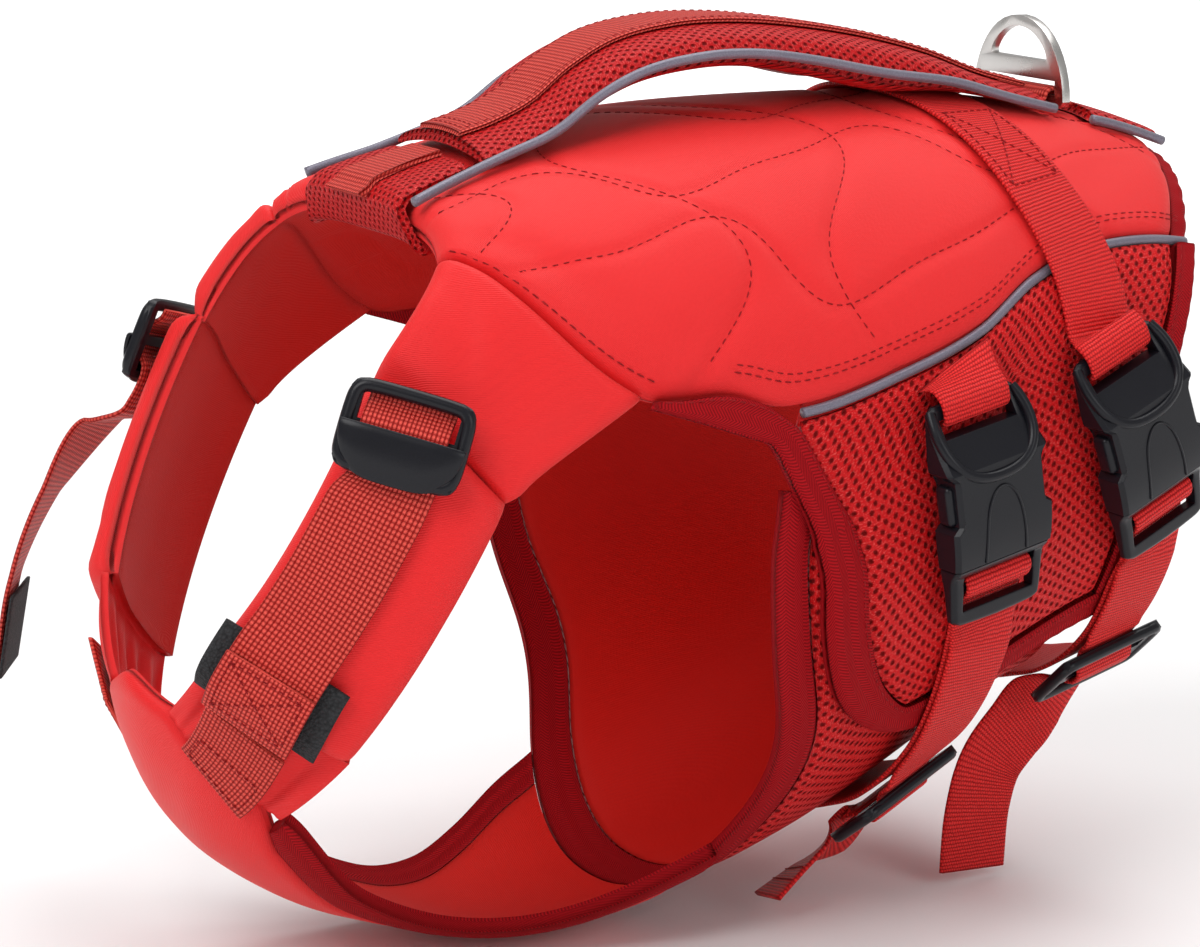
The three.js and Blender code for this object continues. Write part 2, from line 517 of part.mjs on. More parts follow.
// Buckles, each half a row table: y down the strap, half its half width, low and top its two faces.
const BUCKLE_SLOT = 13.6;     // half width of the openings for the webbing
const BUCKLE_BEND = 2.4;      // how far the ends of a buckle curve towards the body
const BUCKLE_HALF = 34;       // half its length
const BUCKLE_LIFT = SIDE_OUT + 3.8;
const SOCKET = [
  { y: -34, half: 14.5, low: 0.6, top: 2.2 }, { y: -33, half: 16.2, low: 0, top: 3 },
  { y: -30, half: 17.2, low: 0, top: 3 }, { y: -24.5, half: 18, low: 0, top: 5 },
  { y: -17, half: 19, low: 0, top: 10.2 }, { y: -8, half: 19, low: 0, top: 10.8 },
  { y: -5.5, half: 16.6, low: 0, top: 10.8 }, { y: 0.5, half: 16.6, low: 0, top: 10.8 },
  { y: 2.5, half: 19, low: 0, top: 10.8 }, { y: 9, half: 18.9, low: 0, top: 10.6 },
  { y: 14.6, half: 18.6, low: 0, top: 9.6 },
];
const PLUG = [
  { y: 15, half: 18.2, low: 0, top: 9.2 }, { y: 16.4, half: 18.2, low: 0, top: 8.2 },
  { y: 18, half: 18, low: 0, top: 6.5 }, { y: 20.5, half: 17.8, low: 0.4, top: 6 },
  { y: 23.5, half: 17.6, low: 0.6, top: 5.8 }, { y: 29.5, half: 17.4, low: 0.8, top: 5.2 },
  { y: 33, half: 17, low: 0.8, top: 5 }, { y: 34, half: 15.5, low: 1.2, top: 4.2 },
];
const curved = (x, y, z) => new THREE.Vector3(x, y, z - BUCKLE_BEND * (y / BUCKLE_HALF) ** 2);
function buckleHalf(rows, slots, bar) {
  const xs = (half) => [-half, 1.3 - half, -BUCKLE_SLOT, 0.7 - BUCKLE_SLOT, 0,
    BUCKLE_SLOT - 0.7, BUCKLE_SLOT, half - 1.3, half];
  const open = (i, j) => i >= 2 && i < 6 && slots.includes(j);
  return plate(9, rows.length, open, (i, j, out) => {
    const row = rows[j];
    const rim = i === 0 || i === 8;
    const inBar = bar && i > 2 && i < 6 && bar.rows.includes(j);
    const low = inBar ? bar.low : row.low + (rim ? 0.9 : 0);
    const top = inBar ? bar.top : row.top - (rim ? 1.3 : 0);
    return curved(xs(row.half)[i], row.y, out ? top : low);
  });
}
// A frame of three bars for webbing, flat in its own x and y, moved to where it lies by place.
function slider({ half, long, slot, bar, thick }, place) {
  const xs = [-half, 1 - half, -slot, slot, half - 1, half];
  const ys = [-long, 1 - long, bar - long, -bar / 2, bar / 2, long - bar, long - 1, long];
  return plate(6, 8, (i, j) => i === 2 && (j === 2 || j === 4), (i, j, out) => {
    const [endX, endY] = [i === 0 || i === 5, j === 0 || j === 7];
    const z = thick / 2 - (endX || endY ? 0.6 : 0);
    return place(new THREE.Vector3(xs[i] * (endY ? 0.96 : 1), ys[j], out ? z : -z));
  });
}
// The seat of a piece of hardware over a strap's rows: x across it, y down it, z away from the body.
function seat(rows, from, to, lift) {
  const at = (deg, out) => onForm(stationAt(along(rows, 'deg', 'y', deg), deg), deg, out);
  const middle = (from + to) / 2;
  const down = at(to, 0).sub(at(from, 0)).normalize();
  const out = normalAt(stationAt(along(rows, 'deg', 'y', middle), middle), middle);
  out.addScaledVector(down, -out.dot(down)).normalize();
  const across = new THREE.Vector3().crossVectors(down, out);
  return new THREE.Matrix4().makeBasis(across, down, out).setPosition(at(middle, lift));
}
const acrossOf = (matrix) => new THREE.Vector3().setFromMatrixColumn(matrix, 0);

// Webbing through a buckle and a frame of bars, as { y, z } down and away from the body.
const OVER_END_BAR = [
  { y: -38, z: 0.4 }, { y: -36, z: 2.6 }, { y: -34, z: 3.6 }, { y: -31.5, z: 3.7 }, { y: -29.7, z: 3.3 },
  { y: -28.7, z: 1.6 }, { y: -28.5, z: -0.4 },
];
const ROUND_BAR = [
  { y: 37, z: -3.4 }, { y: 33, z: -3.25 }, { y: 30, z: -3.15 }, { y: 27.5, z: -2.95 }, { y: 25, z: -2.3 },
  { y: 22.8, z: -1.2 }, { y: 20.6, z: -0.5 }, { y: 18.8, z: 0.8 }, { y: 18.35, z: 3 }, { y: 18.9, z: 5.3 },
  { y: 21, z: 6.6 }, { y: 23.6, z: 6.4 }, { y: 25.8, z: 4.7 }, { y: 27.2, z: 2.2 }, { y: 28.3, z: 0.6 },
  { y: 30.5, z: 0.2 }, { y: 34, z: -0.1 }, { y: 38, z: -1.2 },
];
const THROUGH_FRAME = [
  { y: -14, z: -1.95 }, { y: -10.5, z: -2 }, { y: -7.4, z: -1.2 }, { y: -4.4, z: 1.6 }, { y: -2, z: 3.4 },
  { y: 0, z: 3.6 }, { y: 2, z: 3.4 }, { y: 4.4, z: 1.6 }, { y: 7.4, z: -1.2 }, { y: 10.5, z: -2 },
  { y: 14, z: -1.95 },
];
const TRIGLIDE = { half: 23, long: 12, slot: 17, bar: 3, thick: 3 };

// Each belly strap: its centre line (y by angle), the angles between which its buckle and its triglide
// lie, where its layers run, and its free tail with the direction of the tail's width.
const STRAPS = [
  {
    name: 'front',
    path: [
      { deg: 69, y: 1 }, { deg: 75, y: 3 }, { deg: 90, y: 8.5 }, { deg: 105, y: 13.5 }, { deg: 127, y: 10 },
      { deg: 148, y: 5 }, { deg: 212, y: 5 }, { deg: 233, y: 10 }, { deg: 255, y: 13.5 },
      { deg: 270, y: 8.5 }, { deg: 285, y: 3 }, { deg: 291, y: 1 },
    ],
    buckle: [75, 104], frame: [142, 154], upper: [72.2, 69.6], inner: [290.2, 113], outer: [111, 139],
    tail: [
      { p: [38, 0, -221], wide: [-0.3, 0.9, 0] }, { p: [38, -12, -228], wide: [-0.75, 0.6, -0.1] },
      { p: [37, -25, -237], wide: [-0.85, 0.4, -0.1] },
    ],
  },
  {
    name: 'rear',
    path: [
      { deg: 60, y: 57.5 }, { deg: 72, y: 59 }, { deg: 90, y: 70 }, { deg: 106, y: 80.5 },
      { deg: 127, y: 80 }, { deg: 140, y: 79 }, { deg: 220, y: 79 }, { deg: 233, y: 80 },
      { deg: 254, y: 80.5 }, { deg: 270, y: 70 }, { deg: 288, y: 59 }, { deg: 303, y: 57 },
      { deg: 323, y: 50 }, { deg: 345, y: 44 }, { deg: 360, y: 41 }, { deg: 375, y: 44 },
      { deg: 397, y: 50 }, { deg: 417, y: 57 }, { deg: 432, y: 59 },
    ],
    buckle: [73, 106], frame: [133, 147], upper: null, inner: [430, 114], outer: [112, 130],
    tail: [
      { p: [42, 74, -186], wide: [0, 0.9, -0.4] }, { p: [43, 64, -194], wide: [0, 0.75, -0.65] },
      { p: [43, 55, -204], wide: [0, 0.85, -0.5] }, { p: [42, 51, -219], wide: [0, 1, -0.1] },
      { p: [41, 50, -239], wide: [0, 1, 0] },
    ],
  },
];
// How far the inner layer of a belly strap stands off the form on its way round.
const STAND_OFF = [
  { deg: 60, out: 10.2 }, { deg: 114, out: 10.2 }, { deg: 127, out: 10.3 }, { deg: 135, out: 9.6 },
  { deg: 149, out: 7.2 }, { deg: 160, out: 5.1 }, { deg: 220, out: 4.9 }, { deg: 226, out: 7 },
  { deg: 231.5, out: 10.6 }, { deg: 239, out: 10.4 }, { deg: 246, out: 10.2 }, { deg: 290, out: 10.2 },
  { deg: 310, out: 9.8 }, { deg: 360, out: 9.8 },
];
const SEAM_SLANT = 4.6;       // degrees between the two edges of a strap where a piped seam takes its end
const FRAME_LIFT = 6.8;       // the middle of a triglide over the underside of the layer below it
const standOff = (deg) => along(STAND_OFF, 'deg', 'out', Math.min(deg, 360));
const vector = ([x, y, z]) => new THREE.Vector3(x, y, z);
for (const strap of STRAPS) {
  const layer = ([from, to], steps, above = 0) => even(steps).map((t) => {
    const deg = mix(from, to, t);
    return { deg, y: along(strap.path, 'deg', 'y', deg), out: standOff(deg) + above };
  });
  const buckle = seat(strap.path, ...strap.buckle, BUCKLE_LIFT);
  const frameMiddle = (strap.frame[0] + strap.frame[1]) / 2;
  const frame = seat(strap.path, ...strap.frame, standOff(frameMiddle) + FRAME_LIFT);
  const wideIn = (matrix) => acrossOf(matrix).negate();
  const inBuckle = (rows) => rows.map(({ y, z }) => curved(0, y, z).applyMatrix4(buckle));
  const through = (points, wide, steps) => threaded(points, points.map(() => wide), steps);

  const start = through(inBuckle([...OVER_END_BAR].reverse()), wideIn(buckle), 12);
  const fromSeam = { slants: [strap.upper ? SEAM_SLANT : 0, 0] };
  const inner = laid(layer(strap.inner, 60), strap.upper ? 34 : 60, fromSeam);
  const wrap = through(inBuckle(ROUND_BAR), wideIn(buckle), 34);
  const outer = turned(laid(layer(strap.outer, 10, PLY + GAP), 5));
  const framePoints = THROUGH_FRAME.map(({ y, z }) => new THREE.Vector3(0, y, z).applyMatrix4(frame));
  const end = threaded([...framePoints, ...strap.tail.map(({ p }) => vector(p))],
    [...framePoints.map(() => wideIn(frame)), ...strap.tail.map(({ wide }) => vector(wide))], 40);
  const lower = [...inner, ...wrap, ...outer, ...end];
  if (strap.upper) {
    const upper = laid(layer(strap.upper, 4), 2, { slants: [0, -SEAM_SLANT] });
    add(`${strap.name}_upper_webbing`, ribbon([...start, ...upper]), STRAP_CLOTH);
    add(`${strap.name}_strap_webbing`, ribbon(lower), STRAP_CLOTH);
  } else {
    add(`${strap.name}_strap_webbing`, ribbon([...start, ...lower]), STRAP_CLOTH);
  }
  add(`${strap.name}_buckle_socket`, buckleHalf(SOCKET, [2]).applyMatrix4(buckle), PLASTIC);
  add(`${strap.name}_buckle_plug`, buckleHalf(PLUG, [2, 4], { rows: [3, 4], low: 2, top: 4.4 })
    .applyMatrix4(buckle), PLASTIC);
  add(`${strap.name}_triglide`, slider(TRIGLIDE, (p) => p.applyMatrix4(frame)), PLASTIC);
}

// Shoulder straps: a ladder slider at each flap's hem, webbing down the sleeve with its hook pad, and
// the webbing sewn over the tab onto the chest plate. The right one hangs loose from its slider.
const LADDER = { half: 18, long: 13, slot: 14, bar: 3, thick: 3 };
const SHOULDER = [
  { s: -131.5, deg: 90.5 }, { s: -130, deg: 96 }, { s: -127, deg: 112 }, { s: -123.5, deg: 129 },
  { s: -118, deg: 141.5 }, { s: -112, deg: 158 },
].map(({ s, deg }) => ({ deg, y: bare(s, deg).y }));
const SLEEVE_TOP = SLEEVE_WALL + 2;
const PAD = { width: 37, thick: 1.2 };
const SHOULDER_OUT = [
  { deg: 90, out: SLEEVE_TOP + 0.5 }, { deg: 124, out: SLEEVE_TOP + 0.5 },
  { deg: 128, out: SLEEVE_TOP + PAD.thick + 1.4 }, { deg: 135, out: SLEEVE_TOP + PAD.thick + 1.5 },
  { deg: 137.5, out: 15.7 }, { deg: 141.5, out: 12.6 },
];
const UNDER_OUT = [
  { deg: 128, out: SLEEVE_TOP + 1.1 }, { deg: 135, out: SLEEVE_TOP + 1.2 }, { deg: 138, out: 13.8 },
  { deg: 141.5, out: 10.4 }, { deg: 149, out: 7.4 }, { deg: 158, out: 5.8 },
];
const LOOSE = [
  { p: [93, -190, -92], wide: [-0.4, -0.9, 0] }, { p: [97, -205, -112], wide: [-0.75, -0.65, 0] },
  { p: [99, -217, -138], wide: [-0.85, -0.5, 0] }, { p: [100, -222, -166], wide: [-0.85, -0.5, 0] },
];
for (const { side, sign } of SIDES) {
  const mirrored = (rows) => (sign > 0 ? rows : rows.map((row) => row.map(({ low, high }) => ({
    low: low.clone().setX(-low.x), high: high.clone().setX(-high.x) }))));
  const layer = (from, to, steps, table) => even(steps).map((t) => {
    const deg = mix(from, to, t);
    return { deg, y: along(SHOULDER, 'deg', 'y', deg), out: along(table, 'deg', 'out', deg) };
  });
  const frame = seat(SHOULDER, 89, 99.5, SLEEVE_TOP + 3.1);
  const onSide = (p) => p.applyMatrix4(frame).multiply(new THREE.Vector3(sign, 1, 1));
  add(`shoulder_slider_${side}`, slider(LADDER, onSide), PLASTIC);
  const past = [{ y: 19, z: -1.2 }, { y: 24, z: 0.5 }];
  const rows = [...THROUGH_FRAME.slice(1), ...(sign > 0 ? [] : past)];
  const points = rows.map(({ y, z }) => new THREE.Vector3(0, y, z - PLY).applyMatrix4(frame));
  const across = acrossOf(frame);
  const hanging = sign > 0 ? [] : LOOSE;
  const top = threaded([...points, ...hanging.map(({ p }) => vector(p))],
    [...points.map(() => across), ...hanging.map(({ wide }) => vector(wide))], sign > 0 ? 20 : 40);
  const down = sign > 0 ? laid(layer(103, 141.5, 10, SHOULDER_OUT), 10) : [];
  add(`shoulder_webbing_${side}`, ribbon(mirrored([...top, ...down])), STRAP_CLOTH);
  const anchor = laid(layer(143, 157, 5, UNDER_OUT), 5);
  add(`chest_webbing_${side}`, ribbon(mirrored(anchor)), STRAP_CLOTH);
  if (sign > 0) {
    add('hook_pad_left', ribbon(laid(layer(128.5, 141, 5, UNDER_OUT), 5, PAD)), HOOK);
    const foldOut = SHOULDER_OUT.map(({ deg, out }) => ({ deg, out: out + PLY + GAP }));
    add('shoulder_webbing_fold', ribbon(laid(layer(131, 141, 4, foldOut), 4)), STRAP_CLOTH);
  } else {
    const [start, end] = LOOSE.slice(2).map(({ p }) => vector(p));
    const wide = vector(LOOSE[3].wide).normalize();
    const under = end.clone().sub(start).cross(wide).normalize();
    const pad = [0.15, 0.6, 1.05].map((t) =>
      start.clone().lerp(end, t).addScaledVector(under, PAD.thick + 2 * GAP));
    const padRows = threaded(pad, pad.map(() => wide), 4, PAD.width, PAD.thick);
    add('hook_pad_right', ribbon(mirrored(padRows)), HOOK);
  }
}

export default jacket;
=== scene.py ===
import math
import bpy
import numpy as np
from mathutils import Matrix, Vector


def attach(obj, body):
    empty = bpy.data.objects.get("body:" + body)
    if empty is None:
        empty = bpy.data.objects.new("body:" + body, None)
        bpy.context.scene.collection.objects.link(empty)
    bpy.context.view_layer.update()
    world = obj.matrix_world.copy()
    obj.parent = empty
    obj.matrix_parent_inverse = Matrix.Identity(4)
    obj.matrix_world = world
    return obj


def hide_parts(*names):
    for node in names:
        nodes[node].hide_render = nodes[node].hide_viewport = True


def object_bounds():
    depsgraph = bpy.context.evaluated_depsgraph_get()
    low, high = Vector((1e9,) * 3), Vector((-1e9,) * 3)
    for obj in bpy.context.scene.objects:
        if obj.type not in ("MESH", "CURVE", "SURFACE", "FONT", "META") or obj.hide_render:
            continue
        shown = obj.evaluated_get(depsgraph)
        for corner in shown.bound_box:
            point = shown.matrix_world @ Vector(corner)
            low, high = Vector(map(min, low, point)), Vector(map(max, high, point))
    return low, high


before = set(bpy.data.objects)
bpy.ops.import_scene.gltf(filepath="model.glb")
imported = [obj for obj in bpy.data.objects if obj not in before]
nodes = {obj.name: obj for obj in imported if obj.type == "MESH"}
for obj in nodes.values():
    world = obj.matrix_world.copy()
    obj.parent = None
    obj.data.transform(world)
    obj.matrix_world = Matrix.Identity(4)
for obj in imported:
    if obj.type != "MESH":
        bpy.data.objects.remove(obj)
cad_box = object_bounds()
bpy.ops.object.select_all(action="DESELECT")


# Back panel. Foam between a red nylon face and a nylon lining, shaped over the dog's back and quilted
# with two crossing families of long waves. The general form under it is the one that every panel of the
# jacket lies on: a station s along the spine, an angle round the section, and a distance out, in mm.
def table(keys, *rows):
    """Rows of numbers as one array for each named column. The first column is what the others follow."""
    return {key: np.array(column, float) for key, column in zip(keys.split(), zip(*rows))}


BODY = table(
    "s top deep half mid up low lean",
    (-160, -26, 100, 50, 0.28, 3.8, 2.0, 0.63),
    (-142, -19, 126, 61, 0.31, 3.6, 2.0, 0.62),
    (-118, -12, 160, 73, 0.37, 3.0, 2.0, 0.6),
    (-90, -6, 193, 82, 0.42, 2.7, 2.1, 0.56),
    (-50, -1, 221, 88, 0.44, 2.5, 2.2, 0.5),
    (0, 0, 237, 88, 0.46, 2.4, 2.2, 0.43),
    (50, -2, 220, 84, 0.46, 2.35, 2.2, 0.37),
    (100, -10, 177, 78, 0.46, 2.3, 2.2, 0.32),
    (142, -24, 145, 71, 0.46, 2.3, 2.2, 0.3))
BACK_EDGE = table("s deg", (-142, 50), (-110, 65), (-69, 75.5), (-45, 73.8), (-25, 74.2), (9, 69), (37, 64),
                  (55, 56.5), (80, 51.5), (142, 50.5))
# The back's front and rear stations, the rear one also at its sides; the gap kept between two layers; how
# far a padded face stays under its solid's; and the shares of the back's width and length that roll over.
FRONT, REAR, REAR_SIDE = -142, 134, 116.5
BACK_WALL, GAP, UNDER = 9.0, 0.35, 0.1
BACK_RIM, BACK_END_RIM = 0.035, 0.028
SIDES = (("left", 1), ("right", -1))


def along(rows, to, x):
    """A smooth curve through a table's rows, straight beyond its ends."""
    a, b = next(iter(rows.values())), rows[to]
    x = np.asarray(x, float)
    last = len(a) - 1
    before, after = np.maximum(np.arange(last + 1) - 1, 0), np.minimum(np.arange(last + 1) + 1, last)
    slope = (b[after] - b[before]) / (a[after] - a[before])
    i = np.clip(np.searchsorted(a, x) - 1, 0, last - 1)
    span = a[i + 1] - a[i]
    t = (x - a[i]) / span
    rise = t * t * (3 - 2 * t)
    curve = (1 - rise) * b[i] + rise * b[i + 1]
    curve = curve + span * t * (1 - t) * ((1 - t) * slope[i] - t * slope[i + 1])
    curve = np.where(x <= a[0], b[0] + slope[0] * (x - a[0]), curve)
    return np.where(x >= a[-1], b[-1] + slope[-1] * (x - a[-1]), curve)


def mix(a, b, t):
    return a + (b - a) * t


def unit(v):
    return v / np.linalg.norm(v, axis=-1, keepdims=True)


def bare(s, deg):
    """A point of the form itself."""
    s, deg = np.broadcast_arrays(np.asarray(s, float), np.asarray(deg, float))
    half, mid, deep, lean, top = (along(BODY, key, s) for key in ("half", "mid", "deep", "lean", "top"))
    across, up = np.sin(np.radians(deg)), np.cos(np.radians(deg))
    power = 2 / np.where(up >= 0, along(BODY, "up", s), along(BODY, "low", s))
    share = np.where(up >= 0, mid, 1 - mid)
    fall = deep * (mid - share * np.sign(up) * np.abs(up) ** power)
    return np.stack([half * np.sign(across) * np.abs(across) ** power, s - lean * fall, top - fall], -1)


def normal_at(s, deg):
    return unit(np.cross(bare(s, deg + 0.3) - bare(s, deg - 0.3), bare(s + 0.5, deg) - bare(s - 0.5, deg)))


def on_form(s, deg, out):
    s, deg, out = np.broadcast_arrays(*(np.asarray(v, float) for v in (s, deg, out)))
    return bare(s, deg) + normal_at(s, deg) * out[..., None]


def rimmed(count, rim):
    """Shares from 0 to 1 with close steps in the rims, where a padded wall rolls over."""
    close = np.array([0, 0.06, 0.2, 0.4, 0.68, 1]) * rim
    return np.concatenate([close, np.linspace(rim, 1 - rim, count)[1:-1], 1 - close[::-1]])


def near_edge(share, rim):
    """1 on an edge, falling to 0 where its rim ends."""
    return 1 - np.clip(np.minimum(share, 1 - share) / rim, 0, 1)


def rolled(share, rim, edge=0.3):
    """The height of a padded wall's rolled edge: lowest on the edge itself, 1 past its rim."""
    return edge + (1 - edge) * np.sqrt(1 - near_edge(share, rim) ** 2)


def folds(s, deg, rows, mm_per_deg=1.5):
    """Soft folds in mm. Each row: where it starts and ends, as (s, deg), its height and its width."""
    total = np.zeros(np.broadcast(s, deg).shape)
    for start, end, high, wide in rows:
        a, b = (np.array([place[0], place[1] * mm_per_deg]) for place in (start, end))
        p = np.stack(np.broadcast_arrays(s, deg * mm_per_deg), -1)
        t = np.clip(((p - a) @ (b - a)) / ((b - a) @ (b - a)), 0, 1)
        away = np.linalg.norm(p - a - t[..., None] * (b - a), axis=-1)
        total = total + high * np.exp(-(away / wide) ** 2) * np.sin(np.pi * (0.15 + 0.7 * t))
    return total


def linked(name, data):
    """A new object in the scene."""
    made = bpy.data.objects.new(name, data)
    bpy.context.scene.collection.objects.link(made)
    return made


def finished(piece, materials, node=None, body="jacket"):
    """Gives a piece its materials and its body, and hides the solid that it stands for."""
    for layer in materials:
        piece.data.materials.append(layer)
    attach(piece, body)
    if node:
        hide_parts(node)
    return piece


def closed_mesh(name, points, faces, corners, lined=slice(0, 0)):
    """A closed mesh, its faces turned outwards, with a place on its own UV map, laid out in metres, for each
    corner of each face. The faces in lined take the second material."""
    points, faces = np.asarray(points, float) / 1000, np.asarray(faces)
    spots = points[faces]
    volume = sum((spots[:, 0] * np.cross(spots[:, k], spots[:, k + 1])).sum() for k in (1, 2))
    if volume < 0:
        faces, corners = faces[:, ::-1], corners[:, ::-1]
    mesh = bpy.data.meshes.new(name)
    mesh.from_pydata(points.tolist(), [], faces.tolist())
    layer = mesh.uv_layers.new(name="cloth")
    layer.data.foreach_set("uv", (corners.reshape(-1, 2) / 1000).astype(np.float32).ravel())
    index = np.zeros(len(faces), np.int32)
    index[lined] = 1
    mesh.polygons.foreach_set("material_index", index)
    mesh.validate()
    mesh.shade_smooth()
    return mesh


def sewn(name, us, vs, at, cloths, node=None):
    """A closed wall of cloth. at(u, v, side) gives its points in mm, side 0 towards the wearer; us and vs
    are shares, or how many of them. Inner faces take the second cloth, where there is one."""
    us, vs = (np.linspace(0, 1, n) if isinstance(n, int) else n for n in (us, vs))
    u, v = np.meshgrid(us, vs, indexing="ij")
    inner, outer = at(u, v, 0), at(u, v, 1)
    m, n = u.shape
    run_u, run_v = np.zeros((m, n)), np.zeros((m, n))
    run_u[1:] = np.cumsum(np.linalg.norm(np.diff(outer, axis=0), axis=-1), 0)
    run_v[:, 1:] = np.cumsum(np.linalg.norm(np.diff(outer, axis=1), axis=-1), 1)
    run_u -= run_u[m // 2]
    run_v -= run_v[:, n // 2][:, None]
    flat = np.stack([run_u, run_v], -1).reshape(-1, 2)
    thick = np.linalg.norm(outer - inner, axis=-1).reshape(-1, 1)
    flat = np.concatenate([flat + thick, flat])
    ids = np.arange(m * n).reshape(m, n)
    a, b, c, d = ids[:-1, :-1], ids[1:, :-1], ids[1:, 1:], ids[:-1, 1:]
    face_out = np.stack([a, b, c, d], -1).reshape(-1, 4) + m * n
    face_in = np.stack([a, d, c, b], -1).reshape(-1, 4)
    rims = [np.stack([line[:-1], line[1:], line[1:] + m * n, line[:-1] + m * n], -1)
            for line in (ids[::-1, 0], ids[-1, ::-1], ids[:, -1], ids[0, :])]
    faces = np.concatenate([face_out, face_in, *rims])
    points = np.concatenate([inner.reshape(-1, 3), outer.reshape(-1, 3)])
    lined = slice(len(face_out), 2 * len(face_out)) if len(cloths) > 1 else slice(0, 0)
    return finished(linked(name, closed_mesh(name, points, faces, flat[faces], lined)), cloths, node)


def feed(tree, sockets, **values):
    """Sets sockets, given by name or number. A value is a number, a colour or another node's socket."""
    for key, value in values.items():
        socket = sockets[int(key[1:])] if key[1:].isdigit() else sockets[key.replace("_", " ")]
        if isinstance(value, bpy.types.NodeSocket):
            tree.links.new(value, socket)
        else:
            socket.default_value = value


def put(tree, kind, mode=None, **values):
    """Adds a shader node. The mode is its operation, or the data type of a mix."""
    added = tree.nodes.new("ShaderNode" + kind)
    if mode:
        setattr(added, "data_type" if kind == "Mix" else "operation", mode)
    feed(tree, added.inputs, **values)
    return added


def maths(tree, operation, *values, kind="Math"):
    return put(tree, kind, operation, **{f"i{k}": value for k, value in enumerate(values)}).outputs[0]


def blend(tree, share, low, high):
    return put(tree, "Mix", "RGBA", i0=share, i6=low, i7=high).outputs[2]


def noise(tree, vector, scale, detail, output="Fac"):
    return put(tree, "TexNoise", Vector=vector, Scale=scale, Detail=detail).outputs[output]


def group(name, outputs, **inputs):
    """A shader node group. An input with no default is a vector, one with a tuple is a colour."""
    made = bpy.data.node_groups.new(name, "ShaderNodeTree")
    for key, value in inputs.items():
        kind = "Vector" if value is None else "Color" if isinstance(value, tuple) else "Float"
        label = key.replace("_", " ")
        socket = made.interface.new_socket(label, in_out="INPUT", socket_type="NodeSocket" + kind)
        if value is not None:
            socket.default_value = value
    for label in outputs:
        kind = "Color" if label == "Colour" else "Float"
        made.interface.new_socket(label, in_out="OUTPUT", socket_type="NodeSocket" + kind)
    return made, made.nodes.new("NodeGroupInput").outputs, made.nodes.new("NodeGroupOutput").inputs


# Slow tone changes and fine grain that every cloth of the jacket has.
PLAIN, DARK = (1, 0, 0, 1), (0, 0, 0, 1)
grain, g_in, g_out = group("Cloth grain", ("Colour", "Height"), Vector=None, Colour=PLAIN,
                           Deep_colour=(0.5, 0, 0, 1), Thread=0.5)
slow, fine = noise(grain, g_in["Vector"], 22.0, 3.0), noise(grain, g_in["Vector"], 900.0, 2.0)
twill = put(grain, "TexWave", Vector=g_in["Vector"], Scale=750.0, Distortion=1.0, Detail=1.0)
twill.bands_direction = "DIAGONAL"
share = maths(grain, "MULTIPLY_ADD", fine, 0.35, maths(grain, "MULTIPLY_ADD", slow, 0.55, -0.1))
rough_weave = maths(grain, "MULTIPLY", twill.outputs["Fac"], g_in["Thread"])
feed(grain, g_out, Colour=blend(grain, share, g_in["Colour"], g_in["Deep colour"]),
     Height=maths(grain, "MULTIPLY_ADD", fine, 0.6, rough_weave))


def material(name, **sockets):
    """A new material with its shader and its UV map ready: (material, tree, shader, UV)."""
    made = bpy.data.materials.new(name)
    made.use_nodes = True
    tree = made.node_tree
    shader = tree.nodes["Principled BSDF"]
    feed(tree, shader.inputs, **sockets)
    uv = put(tree, "UVMap")
    uv.uv_map = "cloth"
    return made, tree, shader, uv.outputs["UV"]


def bump(tree, shader, height, distance, strength=1.0):
    made = put(tree, "Bump", Height=height, Strength=strength, Distance=distance)
    feed(tree, shader.inputs, Normal=made.outputs["Normal"])


def patterned(name, pattern, relief, look, **inputs):
    """A cloth whose colour and relief come from a node group, laid out on the piece's own UV map."""
    made, tree, shader, uv = material(name, **look)
    cloth = put(tree, "Group")
    cloth.node_tree = pattern
    feed(tree, cloth.inputs, Vector=uv)
    for key, value in inputs.items():
        feed(tree, cloth.inputs, **{key: (*value, 1) if isinstance(value, tuple) else value})
    feed(tree, shader.inputs, Base_Color=cloth.outputs["Colour"])
    if "Roughness" in cloth.outputs:
        feed(tree, shader.inputs, Roughness=cloth.outputs["Roughness"])
    bump(tree, shader, cloth.outputs["Height"], *relief)
    return made


def nylon(name, colour, deep, roughness, sheen):
    look = dict(Roughness=roughness, Sheen_Weight=sheen, Sheen_Roughness=0.5, Sheen_Tint=(1.0, 0.35, 0.3, 1),
                Specular_IOR_Level=0.22)
    return patterned(name, grain, (0.00012, 1.0), look, Colour=colour, Deep_colour=deep, Thread=0.6)


red_nylon = nylon("Red nylon", (0.78, 0.018, 0.020), (0.68, 0.009, 0.011), 0.5, 0.18)
lining = nylon("Red lining", (0.66, 0.010, 0.004), (0.52, 0.006, 0.003), 0.55, 0.04)

# The quilting of the back panel: one family of waves runs along the spine, the other crosses it. Each
# wave has the place that it swings about, in degrees or mm, and where its first swing starts.
LONG_WAVES = [(-66, 0), (-44, 55), (-20, 15), (4, 70), (27, 30), (50, 82)]
CROSS_WAVES = [(-150, 10), (-92, 34), (-34, 4), (26, 26), (84, 12)]
LONG_SWING, CROSS_SWING, QUILT_PULL, SEAM_HALF = 118, 64, 0.8, 2.3
BACK_MM_PER_DEG = 1.45


def long_wave(wave, s):
    turn = 2 * np.pi * (s - wave[1]) / LONG_SWING
    return wave[0] + (7.5 * np.sin(turn) + 2.2 * np.sin(2 * turn))


def cross_wave(wave, deg):
    return wave[0] + 0.62 * deg + 15 * np.sin(2 * np.pi * (deg - wave[1]) / CROSS_SWING)


